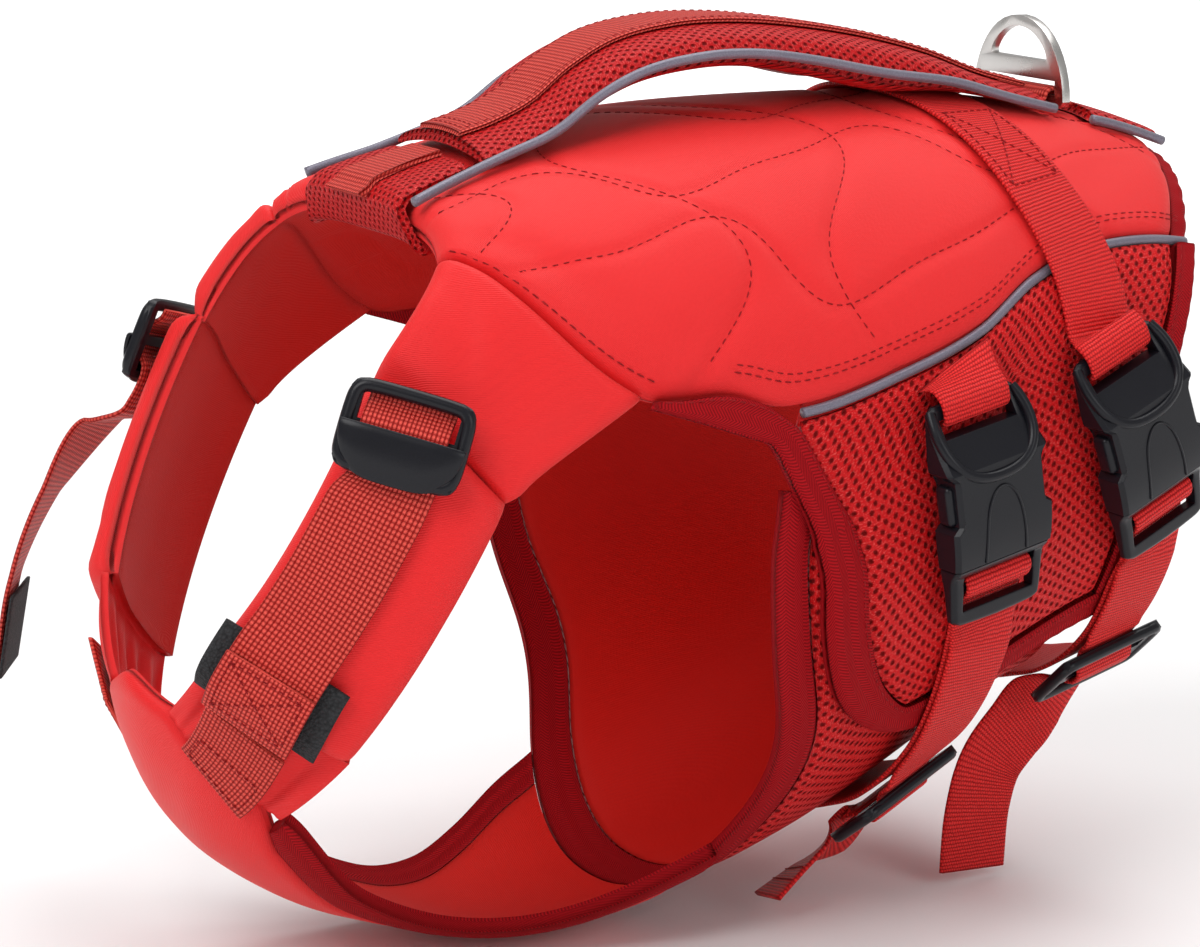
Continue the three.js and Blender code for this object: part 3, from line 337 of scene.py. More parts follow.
def quilted(s, deg):
    """How far the stitched lines pull the cloth in, from 0 to 1."""
    pull = np.zeros(s.shape)
    for wave in LONG_WAVES:
        pull = np.maximum(pull, np.exp(-((deg - long_wave(wave, s)) * BACK_MM_PER_DEG / SEAM_HALF) ** 2))
    for wave in CROSS_WAVES:
        pull = np.maximum(pull, np.exp(-((s - cross_wave(wave, deg)) * 0.86 / SEAM_HALF) ** 2))
    return pull


def back_edge(s):
    return along(BACK_EDGE, "deg", s)


def rear_station(across):
    return REAR - (REAR - REAR_SIDE) * (np.hypot(across, 0.2) - 0.2) / 0.82


BACK_FOLDS = [
    ((s, sign * deg), (to_s, sign * to_deg), high, wide)
    for s, deg, to_s, to_deg, high, wide in (
        (-128, 44, -92, 60, -1.0, 7), (-60, 66, -20, 48, -0.8, 9), (70, 40, 110, 24, -0.7, 8))
    for sign in (1, -1)
]


def back_height(s, deg):
    """The outer face of the back panel, over the form."""
    return BACK_WALL - UNDER - QUILT_PULL * quilted(s, deg) + folds(s, deg, BACK_FOLDS)


def back_at(u, v, side):
    across = 2 * u - 1
    s = mix(FRONT, rear_station(across) - 7.9, v)
    deg = across * (back_edge(s) - 0.1)
    piped_part = np.clip((s + 60) / 25, 0, 1)
    roll = rolled(u, BACK_RIM, 0.32 + 0.42 * piped_part) * rolled(v, BACK_END_RIM, 0.35 + 0.3 * (v > 0.5))
    return on_form(s, deg, side * roll * back_height(s, deg))


back = sewn("back_panel_cloth", rimmed(120, BACK_RIM), rimmed(140, BACK_END_RIM), back_at,
            [red_nylon, lining], "back_panel")


# Stitching. Each stitch is a short length of dark red thread pulled into the cloth, with the gap of a
# lockstitch before the next one. The same stitches run along the quilting, the hems and the seams.
STITCH_RING = [(math.cos(a), math.sin(a)) for a in (0.3, 1.56, 2.8, 4.1, 5.3)]
STITCH_SHAPE = [(-0.5, 0.25, -0.22), (-0.3, 1, 0.05), (0.3, 1, 0.05), (0.5, 0.25, -0.22)]


def run_along(points):
    """How far along a line of points each of them is."""
    return np.concatenate([[0], np.cumsum(np.linalg.norm(np.diff(points, axis=0), axis=1))])


def between(places, marks, rows):
    """The rows of an array at places between their own marks."""
    return np.stack([np.interp(places, marks, column) for column in rows.T], -1)


def stitched(name, lines, length=2.5, gap=0.9, radius=0.22):
    """One mesh of stitches along lines of (points, outward directions)."""
    points, faces = [], []
    for path, ups in lines:
        run = run_along(path)
        marks = np.arange((length + gap) / 2, run[-1], length + gap)
        if len(marks) < 3:
            continue
        place = between(marks, run, path)
        up = unit(between(np.linspace(0, run[-1], len(place)), run, ups))
        ahead = unit(np.gradient(place, axis=0))
        for p, d, w, n in zip(place, ahead, unit(np.cross(ahead, up)), up):
            start = len(points)
            for t, size, lift in STITCH_SHAPE:
                for x, y in STITCH_RING:
                    high = y * size * radius + lift
                    points.append(p + d * t * length + w * x * size * radius + n * high)
            for k in range(3):
                for j in range(5):
                    a, b = start + 5 * k + j, start + 5 * k + (j + 1) % 5
                    faces.append((a, b, b + 5, a + 5))
            faces.append(tuple(start + j for j in range(4, -1, -1)))
            faces.append(tuple(start + 15 + j for j in range(5)))
    mesh = bpy.data.meshes.new(name)
    mesh.from_pydata((np.array(points) / 1000).tolist(), [], faces)
    mesh.uv_layers.new(name="cloth")
    mesh.shade_smooth()
    return finished(linked(name, mesh), [thread])


thread = nylon("Dark red thread", (0.44, 0.010, 0.014), (0.32, 0.006, 0.009), 0.6, 0.0)


def form_line(s, deg, out):
    return on_form(s, deg, out), normal_at(s, deg)


def quilt_lines(s, deg):
    """The stretches of a line that lie on the back panel, inside its hems."""
    kept = (np.abs(deg) < back_edge(s) - 5.5) & (s > FRONT + 4) & (s < rear_station(deg / back_edge(s)) - 14)
    ends = np.flatnonzero(np.diff(np.concatenate([[0], kept, [0]])))
    runs = [slice(first, last) for first, last in zip(ends[::2], ends[1::2]) if last - first > 12]
    return [form_line(s[r], deg[r], back_height(s[r], deg[r]) + 0.05) for r in runs]


quilting = []
for wave in LONG_WAVES:
    s = np.linspace(FRONT, REAR, 500)
    quilting += quilt_lines(s, long_wave(wave, s))
for wave in CROSS_WAVES:
    deg = np.linspace(-76, 76, 400)
    quilting += quilt_lines(cross_wave(wave, deg), deg)
stitched("back_quilting", quilting)

hems = []
for side_name, sign in SIDES:
    for inset in (5.2, 6.9):
        s = np.linspace(-46, 112, 220)
        deg = sign * (back_edge(s) - inset / BACK_MM_PER_DEG)
        hems.append(form_line(s, deg, back_height(s, deg) - 0.05))
    s = np.linspace(FRONT + 3, -70, 120)
    deg = sign * (back_edge(s) - 2.6)
    hems.append(form_line(s, deg, back_height(s, deg) * 0.93))
stitched("back_hem_stitching", hems)


# Binding tapes. Herringbone tape is folded over every raw edge and topstitched: the rear edge of the
# back, the armhole edges of the chest plate, the front of the belly panel and the side panels' rims.
def in_mm(tree, vector):
    return put(tree, "VectorMath", "SCALE", i0=vector, Scale=1000.0).outputs[0]


herringbone, h_in, h_out = group("Herringbone", ("Colour", "Height"), Vector=None, Colour=PLAIN,
                                 Groove_colour=DARK, Chevron=3.0, Rib=0.9)
axes = put(herringbone, "SeparateXYZ", i0=in_mm(herringbone, h_in["Vector"])).outputs
fold = maths(herringbone, "PINGPONG", axes["Y"], h_in["Chevron"])
ribs = maths(herringbone, "PINGPONG", maths(herringbone, "ADD", axes["X"], fold), h_in["Rib"])
level = maths(herringbone, "DIVIDE", ribs, h_in["Rib"])
# Painted shade: the grooves between the ribs take the darker groove colour.
tone = blend(herringbone, level, h_in["Groove colour"], h_in["Colour"])
feed(herringbone, h_out, Colour=tone, Height=level)
# The binding's groove colour is painted shade in its grooves.
binding = patterned(
    "Crimson binding", herringbone, (0.00025, 0.8), dict(Roughness=0.7, Specular_IOR_Level=0.08),
    Colour=(0.46, 0.006, 0.011), Groove_colour=(0.16, 0.002, 0.004), Chevron=3.0, Rib=0.55)


def rear_binding_at(u, v, side):
    across = 2 * u - 1
    s = rear_station(across) - 8 * (1 - v)
    edge = 6.4 - 2.4 * np.clip((v - 0.55) / 0.45, 0, 1) ** 2 + 0.35 * np.sin(34 * np.pi * u) * v
    return on_form(s, across * (back_edge(s) - 0.1), side * edge)


sewn("back_rear_tape", 120, 8, rear_binding_at, [binding], "back_rear_binding")


# Chest plate. A thin padded plate of the same nylon that hangs in front of the chest on the shoulder
# straps and runs back under the belly. Its armhole edges are bound.
CHEST_WALL, CHEST_END = 5.0, 24.4
CHEST_EDGE = table("s deg", (-142, 12), (-132, 17.5), (-113, 25), (-94, 31), (-82, 29.5), (-55, 20.5),
                   (-30, 16), (-13, 19.5), (2, 27), (14, 34), (CHEST_END, 38))
CHEST_FOLDS = [
    ((-118, 168), (-96, 184), -0.9, 8), ((-70, 172), (-30, 180), 0.7, 9),
    ((-104, 198), (-80, 186), -0.8, 7), ((-20, 192), (10, 172), -0.8, 8),
]


def chest_half(s):
    return along(CHEST_EDGE, "deg", s)


def tape_deg(s):
    t = np.clip((s + 104) / 18, 0, 1)
    return 7.2 * t * t * (3 - 2 * t)


def chest_station(across, v):
    return mix(FRONT + 10 * across ** 2, CHEST_END + 0.2, v)


def chest_at(u, v, side):
    across = 2 * u - 1
    s = chest_station(across, v)
    deg = 180 - across * (chest_half(s) - tape_deg(s))
    roll = rolled(u, 0.07) * rolled(v, 0.03)
    return on_form(s, deg, side * roll * (CHEST_WALL - UNDER + folds(s, deg, CHEST_FOLDS)))


chest = sewn("chest_plate_cloth", rimmed(50, 0.07), rimmed(110, 0.03), chest_at, [red_nylon, lining],
             "chest_plate")

for side_name, sign in SIDES:
    def armhole_tape(u, v, side):
        s = chest_station(1, mix(0.246, 1, u))
        deg = 180 - chest_half(s) + v * (tape_deg(s) - 0.25)
        edge = CHEST_WALL + 0.5 - 1.2 * np.abs(2 * v - 1) ** 3
        return on_form(s, sign * deg, side * edge)

    sewn(f"chest_tape_{side_name}", 90, 9, armhole_tape, [binding], f"chest_binding_{side_name}")


# Belly panel. Spacer mesh on the same lining, wrapped from one flank round the belly to the other,
# inside the side panels. Its front edge is bound; the mesh is knitted with open six-sided cells.
# The mesh's colour holds painted light: its holes are painted dark as shade, and its yarn gets painted
# glints as highlights.
cells, c_in, c_out = group(
    "Spacer mesh", ("Colour", "Height", "Roughness"), Vector=None, Colour=PLAIN, Hole_colour=DARK,
    Glint_colour=(0.84, 0.09, 0.08, 1), Across=4.2, Along=5.4, Hole=0.24)
mm = in_mm(cells, c_in["Vector"])
wobble = noise(cells, mm, 0.35, 1.0, "Color")
wobble = maths(cells, "MULTIPLY_ADD", wobble, (0.9, 0.9, 0), mm, kind="VectorMath")
pitch = put(cells, "CombineXYZ", X=c_in["Across"], Y=c_in["Along"], Z=1.0).outputs[0]
laid_out = maths(cells, "DIVIDE", wobble, pitch, kind="VectorMath")
near = []
for shift in (0.0, 0.5):
    local = maths(cells, "ADD", laid_out, (shift, shift, 0), kind="VectorMath")
    local = maths(cells, "FRACTION", local, kind="VectorMath")
    local = maths(cells, "SUBTRACT", local, (0.5, 0.5, 0), kind="VectorMath")
    local = maths(cells, "MULTIPLY", local, (1, 1.1, 0), kind="VectorMath")
    near.append(put(cells, "VectorMath", "LENGTH", i0=local).outputs["Value"])
open_by = maths(cells, "SUBTRACT", maths(cells, "MINIMUM", *near), c_in["Hole"])
rim = put(cells, "MapRange", Value=open_by, From_Min=-0.08, From_Max=0.13)
rim.interpolation_type = "SMOOTHSTEP"
rim = rim.outputs["Result"]
yarn = noise(cells, maths(cells, "MULTIPLY", wobble, (0.7, 1.5, 1), kind="VectorMath"), 1.5, 2.0)
lit = maths(cells, "SUBTRACT", rim, maths(cells, "MULTIPLY_ADD", yarn, 0.5, -0.2))
lit.node.use_clamp = True
# Painted shade: the yarn's colour darkens to the hole colour in and round each open cell.
shade = blend(cells, lit, c_in["Hole colour"], c_in["Colour"])
# Painted highlights: glints of the glint colour laid on the yarn round the holes.
glint = put(cells, "MapRange", Value=yarn, From_Min=0.53, From_Max=0.66, To_Max=0.7).outputs["Result"]
glint = maths(cells, "MULTIPLY", glint, rim)
feed(cells, c_out, Colour=blend(cells, glint, shade, c_in["Glint colour"]),
     Height=maths(cells, "MULTIPLY_ADD", yarn, 0.5, rim),
     Roughness=maths(cells, "MULTIPLY_ADD", rim, -0.5, 0.95))


# The hole colour given here is painted shade for the mesh's open cells.
def spacer_mesh(name, colour, across, length, hole):
    return patterned(name, cells, (0.0009, 0.9), dict(Specular_IOR_Level=0.12), Colour=colour,
                     Hole_colour=(0.13, 0.001, 0.001), Across=across, Along=length, Hole=hole)


side_mesh = spacer_mesh("Side air mesh", (0.56, 0.005, 0.007), 4.0, 4.8, 0.155)
BELLY_FRONT = table("deg s", (84, -15), (90, -10), (101, 2), (116, 18), (127, 24), (142, 25), (180, 25))
BELLY_REAR = table("deg s", (85, 101), (106, 104), (127, 108), (150, 116), (180, 119))
BELLY_WALL, BELLY_TOP, BELLY_TAPE = 4.0, 85, 10


def belly_front(deg):
    return along(BELLY_FRONT, "s", np.minimum(deg, 360 - deg))


def belly_at(u, v, side):
    deg = mix(BELLY_TOP, 360 - BELLY_TOP, u)
    end = along(BELLY_REAR, "s", np.minimum(deg, 360 - deg))
    s = mix(belly_front(deg) + BELLY_TAPE + GAP, end, v)
    return on_form(s, deg, side * BELLY_WALL * (1 - 0.3 * near_edge(v, 0.05) ** 2))


def belly_tape_at(u, v, side):
    deg = mix(BELLY_TOP, 360 - BELLY_TOP, u)
    edge = BELLY_WALL - 0.1 - 1.3 * np.abs(2 * v - 1) ** 3
    return on_form(belly_front(deg) + BELLY_TAPE * v, deg, side * edge)


belly = sewn("belly_panel_mesh", 170, 60, belly_at, [side_mesh, lining], "belly_panel")
sewn("belly_front_tape", 170, 9, belly_tape_at, [binding], "belly_front_binding")


# Shoulder flaps, sleeves and tabs. Each flap is a padded corner of the back that comes down over the
# shoulder; out of it comes a flat padded sleeve, and a thin gathered tab joins that to the chest plate.
FLAP_WALL, SLEEVE_WALL, TAB_WALL = 9.5, 12.0, 2.4
FLAP_FOLDS = [
    ((-138, 62), (-122, 86), -1.0, 5), ((-82, 80), (-100, 88), -1.1, 4.5), ((-112, 70), (-108, 88), -0.7, 6),
]
SLEEVE_FOLDS = [
    ((-140, 96), (-134, 122), -1.3, 4), ((-99, 98), (-104, 124), -1.3, 4.5),
    ((-100, 124), (-96, 133), -1.2, 3.5), ((-104, 112), (-96, 108), -0.9, 3.5),
    ((-138, 126), (-132, 134), -1.1, 3.5),
]


def hem(p):
    """The seam between flap and sleeve, as (s, deg)."""
    return mix(-149, -96, p), mix(90, 92, p)


def cuff(p):
    """The seam between sleeve and tab, as (s, deg)."""
    return mix(-140, -94, p), mix(140, 132, p)


for side_name, sign in SIDES:
    def flap_at(u, v, side):
        seam = mix(FRONT, -69, u)
        s = mix(seam, hem(u)[0], v)
        deg = mix(back_edge(seam) - 0.2, hem(u)[1], v)
        roll = rolled(u, 0.08) * rolled(v, 0.1, 0.42)
        return on_form(s, sign * deg, side * roll * (FLAP_WALL - UNDER + folds(s, deg, FLAP_FOLDS)))

    def sleeve_at(u, v, side):
        s = mix(hem(u)[0], cuff(u)[0], v)
        deg = mix(hem(u)[1] - 0.1, cuff(u)[1], v)
        roll = rolled(u, 0.16) * rolled(v, 0.08, 0.42)
        high = 1 + roll * (SLEEVE_WALL - 2 * UNDER + folds(s, deg, SLEEVE_FOLDS))
        return on_form(s, sign * deg, high if side else 1)

    def tab_at(u, v, side):
        seam = mix(-132, -94.5, u)
        s = mix(cuff(u)[0], seam, v)
        deg = mix(cuff(u)[1] - 0.3, 180.3 - chest_half(seam), v)
        gather = 1.1 * np.sin(9 * np.pi * u) * np.sin(np.pi * v) + 0.25 * np.sin(23 * np.pi * u) * v
        return on_form(s, sign * deg, mix(4, 1.5, v) + gather + side * TAB_WALL)

    flap = sewn(f"shoulder_flap_cloth_{side_name}", rimmed(50, 0.08), rimmed(36, 0.1), flap_at,
                [red_nylon, lining], f"shoulder_flap_{side_name}")
    sleeve = sewn(f"strap_sleeve_cloth_{side_name}", rimmed(36, 0.16), rimmed(56, 0.08), sleeve_at,
                  [red_nylon, lining], f"strap_sleeve_{side_name}")
    tab = sewn(f"strap_tab_cloth_{side_name}", 90, 24, tab_at, [red_nylon], f"strap_tab_{side_name}")


# Side panels. Thick red air mesh, sewn under the piped seam of the back and lying on the belly panel.
# Herringbone tape is folded over the free front edge, round the lower corner, and over the rear edge.
SIDE_FRONT = table("deg s", (77, -31), (84, -15), (92, 4), (100, 13), (106, 20), (112.5, 29), (119.5, 42),
                   (124, 54), (127, 66))
SIDE_REAR = table("deg s", (50, 116.5), (65, 113), (78, 110), (92, 110), (106, 113), (127, 116))
SIDE_WALL, TAPE, TAPE_REAR = 4.8, 12, 8
SEAM_TOP, SIDE_LOW, FREE_LOW, PIPE_DEG = 60.0, 126.5, 124.5, 2.5
SIDE_IN = BELLY_WALL + 0.4
SIDE_OUT = SIDE_IN + SIDE_WALL
TAPE_TOP = SIDE_LOW - TAPE / 1.58
TAPE_STEPS = np.array([0, 0.03, 0.1, 0.22, 0.4, 0.58, 0.7, 0.79, 0.87, 0.93, 0.97, 1])


def side_front(deg):
    return np.maximum(-31, along(SIDE_FRONT, "s", deg))


def side_rear(deg):
    return along(SIDE_REAR, "s", deg)


def smoothed(rows, passes):
    """The same rows, each drawn towards its neighbours, with the two end rows left as they are."""
    for _ in range(passes):
        rows[1:-1] = (rows[:-2] + 2 * rows[1:-1] + rows[2:]) / 4
    return rows


def taped(rows, sign, count):
    """A tape between two edges, from rows of (inner s, inner deg, free s, free deg)."""
    inner, free = on_form(rows[:, 0], rows[:, 1], 5), on_form(rows[:, 2], rows[:, 3], 5)
    step = np.linalg.norm(np.diff(inner, axis=0), axis=1) + np.linalg.norm(np.diff(free, axis=0), axis=1)
    run = np.concatenate([[0], np.cumsum(step)])
    rows = smoothed(between(np.linspace(0, run[-1], count), run, rows), 5)

    def at(u, v, side):
        a, b, c, d = np.moveaxis(between(u, np.linspace(0, 1, count), rows), -1, 0)
        fold = 1 - np.sqrt(1 - (1 - np.clip((1 - v) / 0.24, 0, 1)) ** 2)
        top = SIDE_OUT + 0.5 - 0.8 * (1 - np.clip(v / 0.06, 0, 1)) - 2.6 * fold
        top = top + 0.12 * np.sin(u * count * 1.3) * v
        return on_form(mix(a, c, v), sign * mix(b, d, v), mix(SIDE_IN, top, side))

    return at


def tape_stitches(at, share, count):
    u = np.linspace(0.004, 0.996, count)
    line = at(u, np.full(count, share), 1)
    return line, unit(line - at(u, np.full(count, share), 0))


tape_lines = []
for side_name, sign in SIDES:
    def side_at(u, v, side):
        first = mix(side_front(SEAM_TOP) + TAPE + GAP, side_rear(SEAM_TOP) - TAPE_REAR - GAP, u)
        deg = mix(back_edge(first) + PIPE_DEG, TAPE_TOP - 0.3, v)
        end = mix(side_rear(SEAM_TOP), side_rear(deg), np.minimum(1, 4 * v))
        s = mix(side_front(deg) + TAPE + GAP, end - TAPE_REAR - GAP, u)
        edge = np.maximum(near_edge(u, 0.04), near_edge(v, 0.05))
        return on_form(s, sign * deg, SIDE_IN + side * (SIDE_WALL - 1.6 * edge ** 2))

    panel = sewn(f"side_panel_mesh_{side_name}", 90, 60, side_at, [side_mesh], f"side_panel_{side_name}")

    t = np.linspace(0, 1, 16)
    s = mix(-66, -33, t)
    rows = [np.stack([s, back_edge(s) - 0.1, s, mix(77, 79, t)], -1)]
    t = np.linspace(0, 1, 90)
    inner, free = mix(77, TAPE_TOP, t), mix(79.3, FREE_LOW, t)
    rows.append(np.stack([side_front(inner) + TAPE - GAP, inner, side_front(free), free], -1))
    t = np.linspace(0.15, 1, 50)
    s = mix(side_front(TAPE_TOP) + TAPE, side_rear(120.0), t)
    free = np.maximum(s, side_front(FREE_LOW) + 3)
    rows.append(np.stack([s, 0 * s + TAPE_TOP + 0.1, free, 0 * s + SIDE_LOW], -1))
    front_tape = taped(np.concatenate(rows), sign, 190)
    deg = np.linspace(back_edge(110.0) + PIPE_DEG, TAPE_TOP - 0.3, 60)
    rear_tape = taped(np.stack([side_rear(deg) - TAPE_REAR + 0.15, deg, side_rear(deg), deg], -1), sign, 100)
    for name, node, tape_at, count in (("side_tape", "side_binding", front_tape, 190),
                                       ("side_rear_tape", "side_rear_binding", rear_tape, 100)):
        sewn(f"{name}_{side_name}", count, TAPE_STEPS, tape_at, [binding], f"{node}_{side_name}")
        tape_lines.append(tape_stitches(tape_at, 0.13, 400))
stitched("side_tape_stitching", tape_lines)


# Reflective piping. Grey bead tape wrapped round a cord, sewn into the seam between back and side
# panel; the same piping edges the handle.
def looped(rows, section_run):
    """The faces and UV corners of a tube of point rows (n, m, 3), with its two ends closed by fans."""
    n, m = rows.shape[:2]
    run = run_along(rows.mean(1))
    i, j = np.meshgrid(np.arange(n - 1), np.arange(m), indexing="ij")
    k = (j + 1) % m
    faces = np.stack([i * m + j, i * m + k, (i + 1) * m + k, (i + 1) * m + j], -1).reshape(-1, 4)
    x0, x1, y0, y1 = section_run[j], section_run[j + 1], run[i], run[i + 1]
    corners = [np.stack([x, y], -1) for x, y in ((x0, y0), (x1, y0), (x1, y1), (x0, y1))]
    corners = np.stack(corners, -2).reshape(-1, 4, 2)
    points = np.concatenate([rows.reshape(-1, 3), rows[0].mean(0)[None], rows[-1].mean(0)[None]])
    caps, cap_corners = [], []
    for start, centre, order in ((0, n * m, 1), ((n - 1) * m, n * m + 1, -1)):
        for j in range(0, m, 2):
            caps.append([centre, *[start + (j + 2) % m, start + (j + 1) % m, start + j][::order]])
            cap_corners.append([(0.5, 0.5), (1, 0), (1, 1), (0, 1)])
    return points, np.concatenate([faces, caps]), np.concatenate([corners, np.array(cap_corners, float)])


def piped(name, path, ups, node, sides=12):
    """A length of piping along a path, with the outward direction at each of its points."""
    ahead = unit(np.gradient(path, axis=0))
    wide = unit(np.cross(ahead, ups))
    up = np.cross(wide, ahead)
    a = np.linspace(0, 2 * np.pi, sides, endpoint=False)[None, :, None]
    rows = path[:, None] + PIPE * (wide[:, None] * np.cos(a) + up[:, None] * np.sin(a))
    mesh = closed_mesh(name, *looped(rows, np.linspace(0, 2 * np.pi * PIPE, sides + 1)))
    return finished(linked(name, mesh), [piping], node)


piping, tree, shader, uv = material("Reflective piping", Roughness=0.38, Metallic=0.35, Sheen_Weight=0.2)
beads = put(tree, "TexVoronoi", Vector=uv, Scale=2600.0).outputs["Distance"]
level = maths(tree, "MULTIPLY_ADD", noise(tree, uv, 60.0, 2.0), 0.4, maths(tree, "MULTIPLY", beads, 0.5))
feed(tree, shader.inputs, Base_Color=blend(tree, level, (0.10, 0.088, 0.125, 1), (0.24, 0.225, 0.28, 1)))
bump(tree, shader, beads, 0.0001, 0.6)
PIPE, PIPE_LIFT, PIPE_FROM, PIPE_TO = 1.5, 7, -19, 113
for side_name, sign in SIDES:
    def flange_at(u, v, side):
        s = mix(PIPE_FROM, PIPE_TO + 2, u)
        return on_form(s, sign * (back_edge(s) - 0.3 + 3.4 * v), 4.9 + 0.9 * side)

    sewn(f"piping_flange_{side_name}", 120, 4, flange_at, [red_nylon])
    s = np.linspace(PIPE_FROM, PIPE_TO, 130)
    line, up = form_line(s, sign * (back_edge(s) + PIPE_DEG / 2), PIPE_LIFT)
    piped(f"back_piping_cord_{side_name}", line, up, f"back_piping_{side_name}")


# Handle. A strip of air mesh folded over the neck edge, a padded arch of the same mesh along the spine
# with ribbed webbing sewn on its crown, and a short strip behind; piping runs down both edges.
def back_top(x, y, out=BACK_WALL):
    """The back panel's outer face at a given place across and along."""
    x, y, out = np.broadcast_arrays(*(np.asarray(v, float) for v in (x, y, out)))
    share = np.minimum(np.abs(x) / (along(BODY, "half", y) + out), 1)
    return on_form(y, np.sign(x) * np.degrees(np.arcsin(share ** (along(BODY, "up", y) / 2))), out)


HANDLE_HALF, HANDLE_FRONT, HANDLE_BACK = 27, -119, 84
HANDLE = table(
    "y low thick droop",
    (HANDLE_FRONT, 2.0, 3.4, 3.4), (-108, 3.6, 4.6, 3), (-95, 6.4, 7.0, 2), (-82, 13.0, 9.5, 1),
    (-66, 19.5, 10.5, 1), (-46, 22.5, 11, 1), (-28, 22.3, 11.5, 1), (-8, 18.6, 13.5, 1), (20, 12.4, 15, 1.2),
    (45, 11.4, 9.5, 2), (66, 8.2, 5, 3), (HANDLE_BACK, 4.6, 3.6, 3.5))
# The folded strip's profile at the neck edge: station and height of its inner and of its outer face.
FOLD = np.array([
    (-124, -0.9, -124, -3.4), (-142.3, -0.9, -143, -3.4), (-142.9, 0.6, -145.6, -0.6),
    (-142.9, 8.6, -145.6, 9.6), (-141, 9.9, -141.6, 12.6), (-130, 9.8, -130, 12.6), (-120, 9.7, -120, 12.2),
])
WEBBING, PLY, WEBBING_HALF = 25, 1.6, 12.5


def arch_at(x, y, share):
    across = x / HANDLE_HALF
    low, thick, droop = (along(HANDLE, key, y) for key in ("low", "thick", "droop"))
    return np.stack([x, y, low - droop * across ** 2 + share * (1 - 0.34 * across ** 4) * thick], -1)


def fold_half(s):
    return mix(33.5, 27.5, np.clip((s + 142) / 22, 0, 1))


def fold_line(rows, per=8):
    """The folded strip's own profile, with its corners rounded."""
    place = np.linspace(0, len(rows) - 1, per * (len(rows) - 1) + 1)
    return smoothed(between(place, np.arange(len(rows)), rows), 3)


def fold_at(rows, lift=(0, 0), outer_only=False):
    def at(u, v, side):
        s_in, deep, s_out, high = np.moveaxis(between(v, np.linspace(0, 1, len(rows)), rows), -1, 0)
        s, out = (s_out, high + lift[side]) if side or outer_only else (s_in, deep)
        rim = 1.1 * near_edge(u, 0.05) ** 2 * (0.25 if outer_only else side)
        p = back_top((2 * u - 1) * fold_half(s), s, out - rim)
        p[..., 1] -= lift[side] * np.clip(1 - 6 * v, 0, 1)
        return p

    return at


def handle_wall_at(u, v, side):
    edge = near_edge(u, 0.07) ** 2
    share = side * (1 - 0.3 * edge) + (1 - side) * 0.25 * edge
    return arch_at((2 * u - 1) * HANDLE_HALF, mix(HANDLE_FRONT, HANDLE_BACK, v), share)


def handle_webbing_at(u, v, side):
    edge = 0.35 * near_edge(u, 0.05) ** 2
    p = arch_at((2 * u - 1) * WEBBING_HALF, mix(HANDLE_FRONT, HANDLE_BACK, v), 1)
    p[..., 2] += GAP + (PLY - edge if side else edge)
    return p


def tail_at(u, v, side):
    edge = near_edge(u, 0.06) ** 2
    return back_top((2 * u - 1) * HANDLE_HALF, mix(99, 124, v), 9.4 + side * (3.2 - 1.2 * edge))


weave, w_in, w_out = group("Ribbed weave", ("Colour", "Height"), Vector=None, Colour=PLAIN,
                           Groove_colour=DARK, Rib=1.2, Column=1.0, Depth=0.3, Stagger=0.5)
mm = in_mm(weave, w_in["Vector"])
axes = put(weave, "SeparateXYZ", i0=mm).outputs
length = maths(weave, "MULTIPLY_ADD", noise(weave, mm, 0.5, 1.0), 0.5, axes["Y"])
row = maths(weave, "DIVIDE", length, w_in["Rib"])
count = maths(weave, "FLOOR", row)
rib = maths(weave, "POWER", maths(weave, "PINGPONG", maths(weave, "FRACT", row), 0.5), 0.55)
across = maths(weave, "DIVIDE", axes["X"], w_in["Column"])
across = maths(weave, "MULTIPLY_ADD", count, w_in["Stagger"], across)
yarn = put(weave, "MapRange", Value=maths(weave, "PINGPONG", across, 0.5), From_Min=0.06, From_Max=0.26,
           To_Min=-1.0, To_Max=0.0).outputs["Result"]
# Painted shade: the grooves between ribs and between yarn columns take the groove colour.
both = maths(weave, "MULTIPLY_ADD", rib, 1.4, maths(weave, "MULTIPLY", yarn, w_in["Depth"]))
both.node.use_clamp = True
feed(weave, w_out, Colour=blend(weave, both, w_in["Groove colour"], w_in["Colour"]), Height=both)


# The groove colour passed in is painted shade in the webbing's grooves.
def strap_cloth(name, colour, groove, **weaving):
    look = dict(Roughness=0.5, Sheen_Weight=0.05, Sheen_Roughness=0.4, Sheen_Tint=(1, 0.4, 0.35, 1),
                Specular_IOR_Level=0.12)
    return patterned(name, weave, (0.00045, 0.9), look, Colour=colour, Groove_colour=groove, **weaving)


handle_mesh = spacer_mesh("Handle air mesh", (0.47, 0.004, 0.006), 3.0, 4.0, 0.14)
# Each webbing's second, darker colour is painted shade in its grooves.
salmon_webbing = strap_cloth("Salmon webbing", (0.84, 0.100, 0.075), (0.26, 0.004, 0.003), Rib=1.5,
                             Column=1.3, Depth=0.75, Stagger=0.0)
red_webbing = strap_cloth("Red webbing", (0.88, 0.034, 0.032), (0.34, 0.003, 0.005), Rib=1.2, Column=0.95,
                          Depth=0.4, Stagger=0.5)
handle = sewn("handle_arch_pad", rimmed(22, 0.07), 130, handle_wall_at, [handle_mesh], "handle_arch")
sewn("handle_crown_webbing", rimmed(10, 0.05), 130, handle_webbing_at, [salmon_webbing], "handle_webbing")
front_strip = sewn("handle_front_strip", rimmed(20, 0.05), 49, fold_at(fold_line(FOLD)), [handle_mesh],
                   "handle_base")
front_webbing_at = fold_at(fold_line(FOLD[3:]), (GAP, GAP + PLY), True)
sewn("handle_front_webbing", np.linspace(0.31, 0.69, 14), 25, front_webbing_at, [salmon_webbing],
     "handle_base_webbing")
tail_strip = sewn("handle_rear_strip", rimmed(20, 0.06), 18, tail_at, [handle_mesh], "handle_tail")
PIPE_OUT, FOOT_LIFT = 0.5 + PIPE, 11
upward = np.array([0, 0, 1.0])
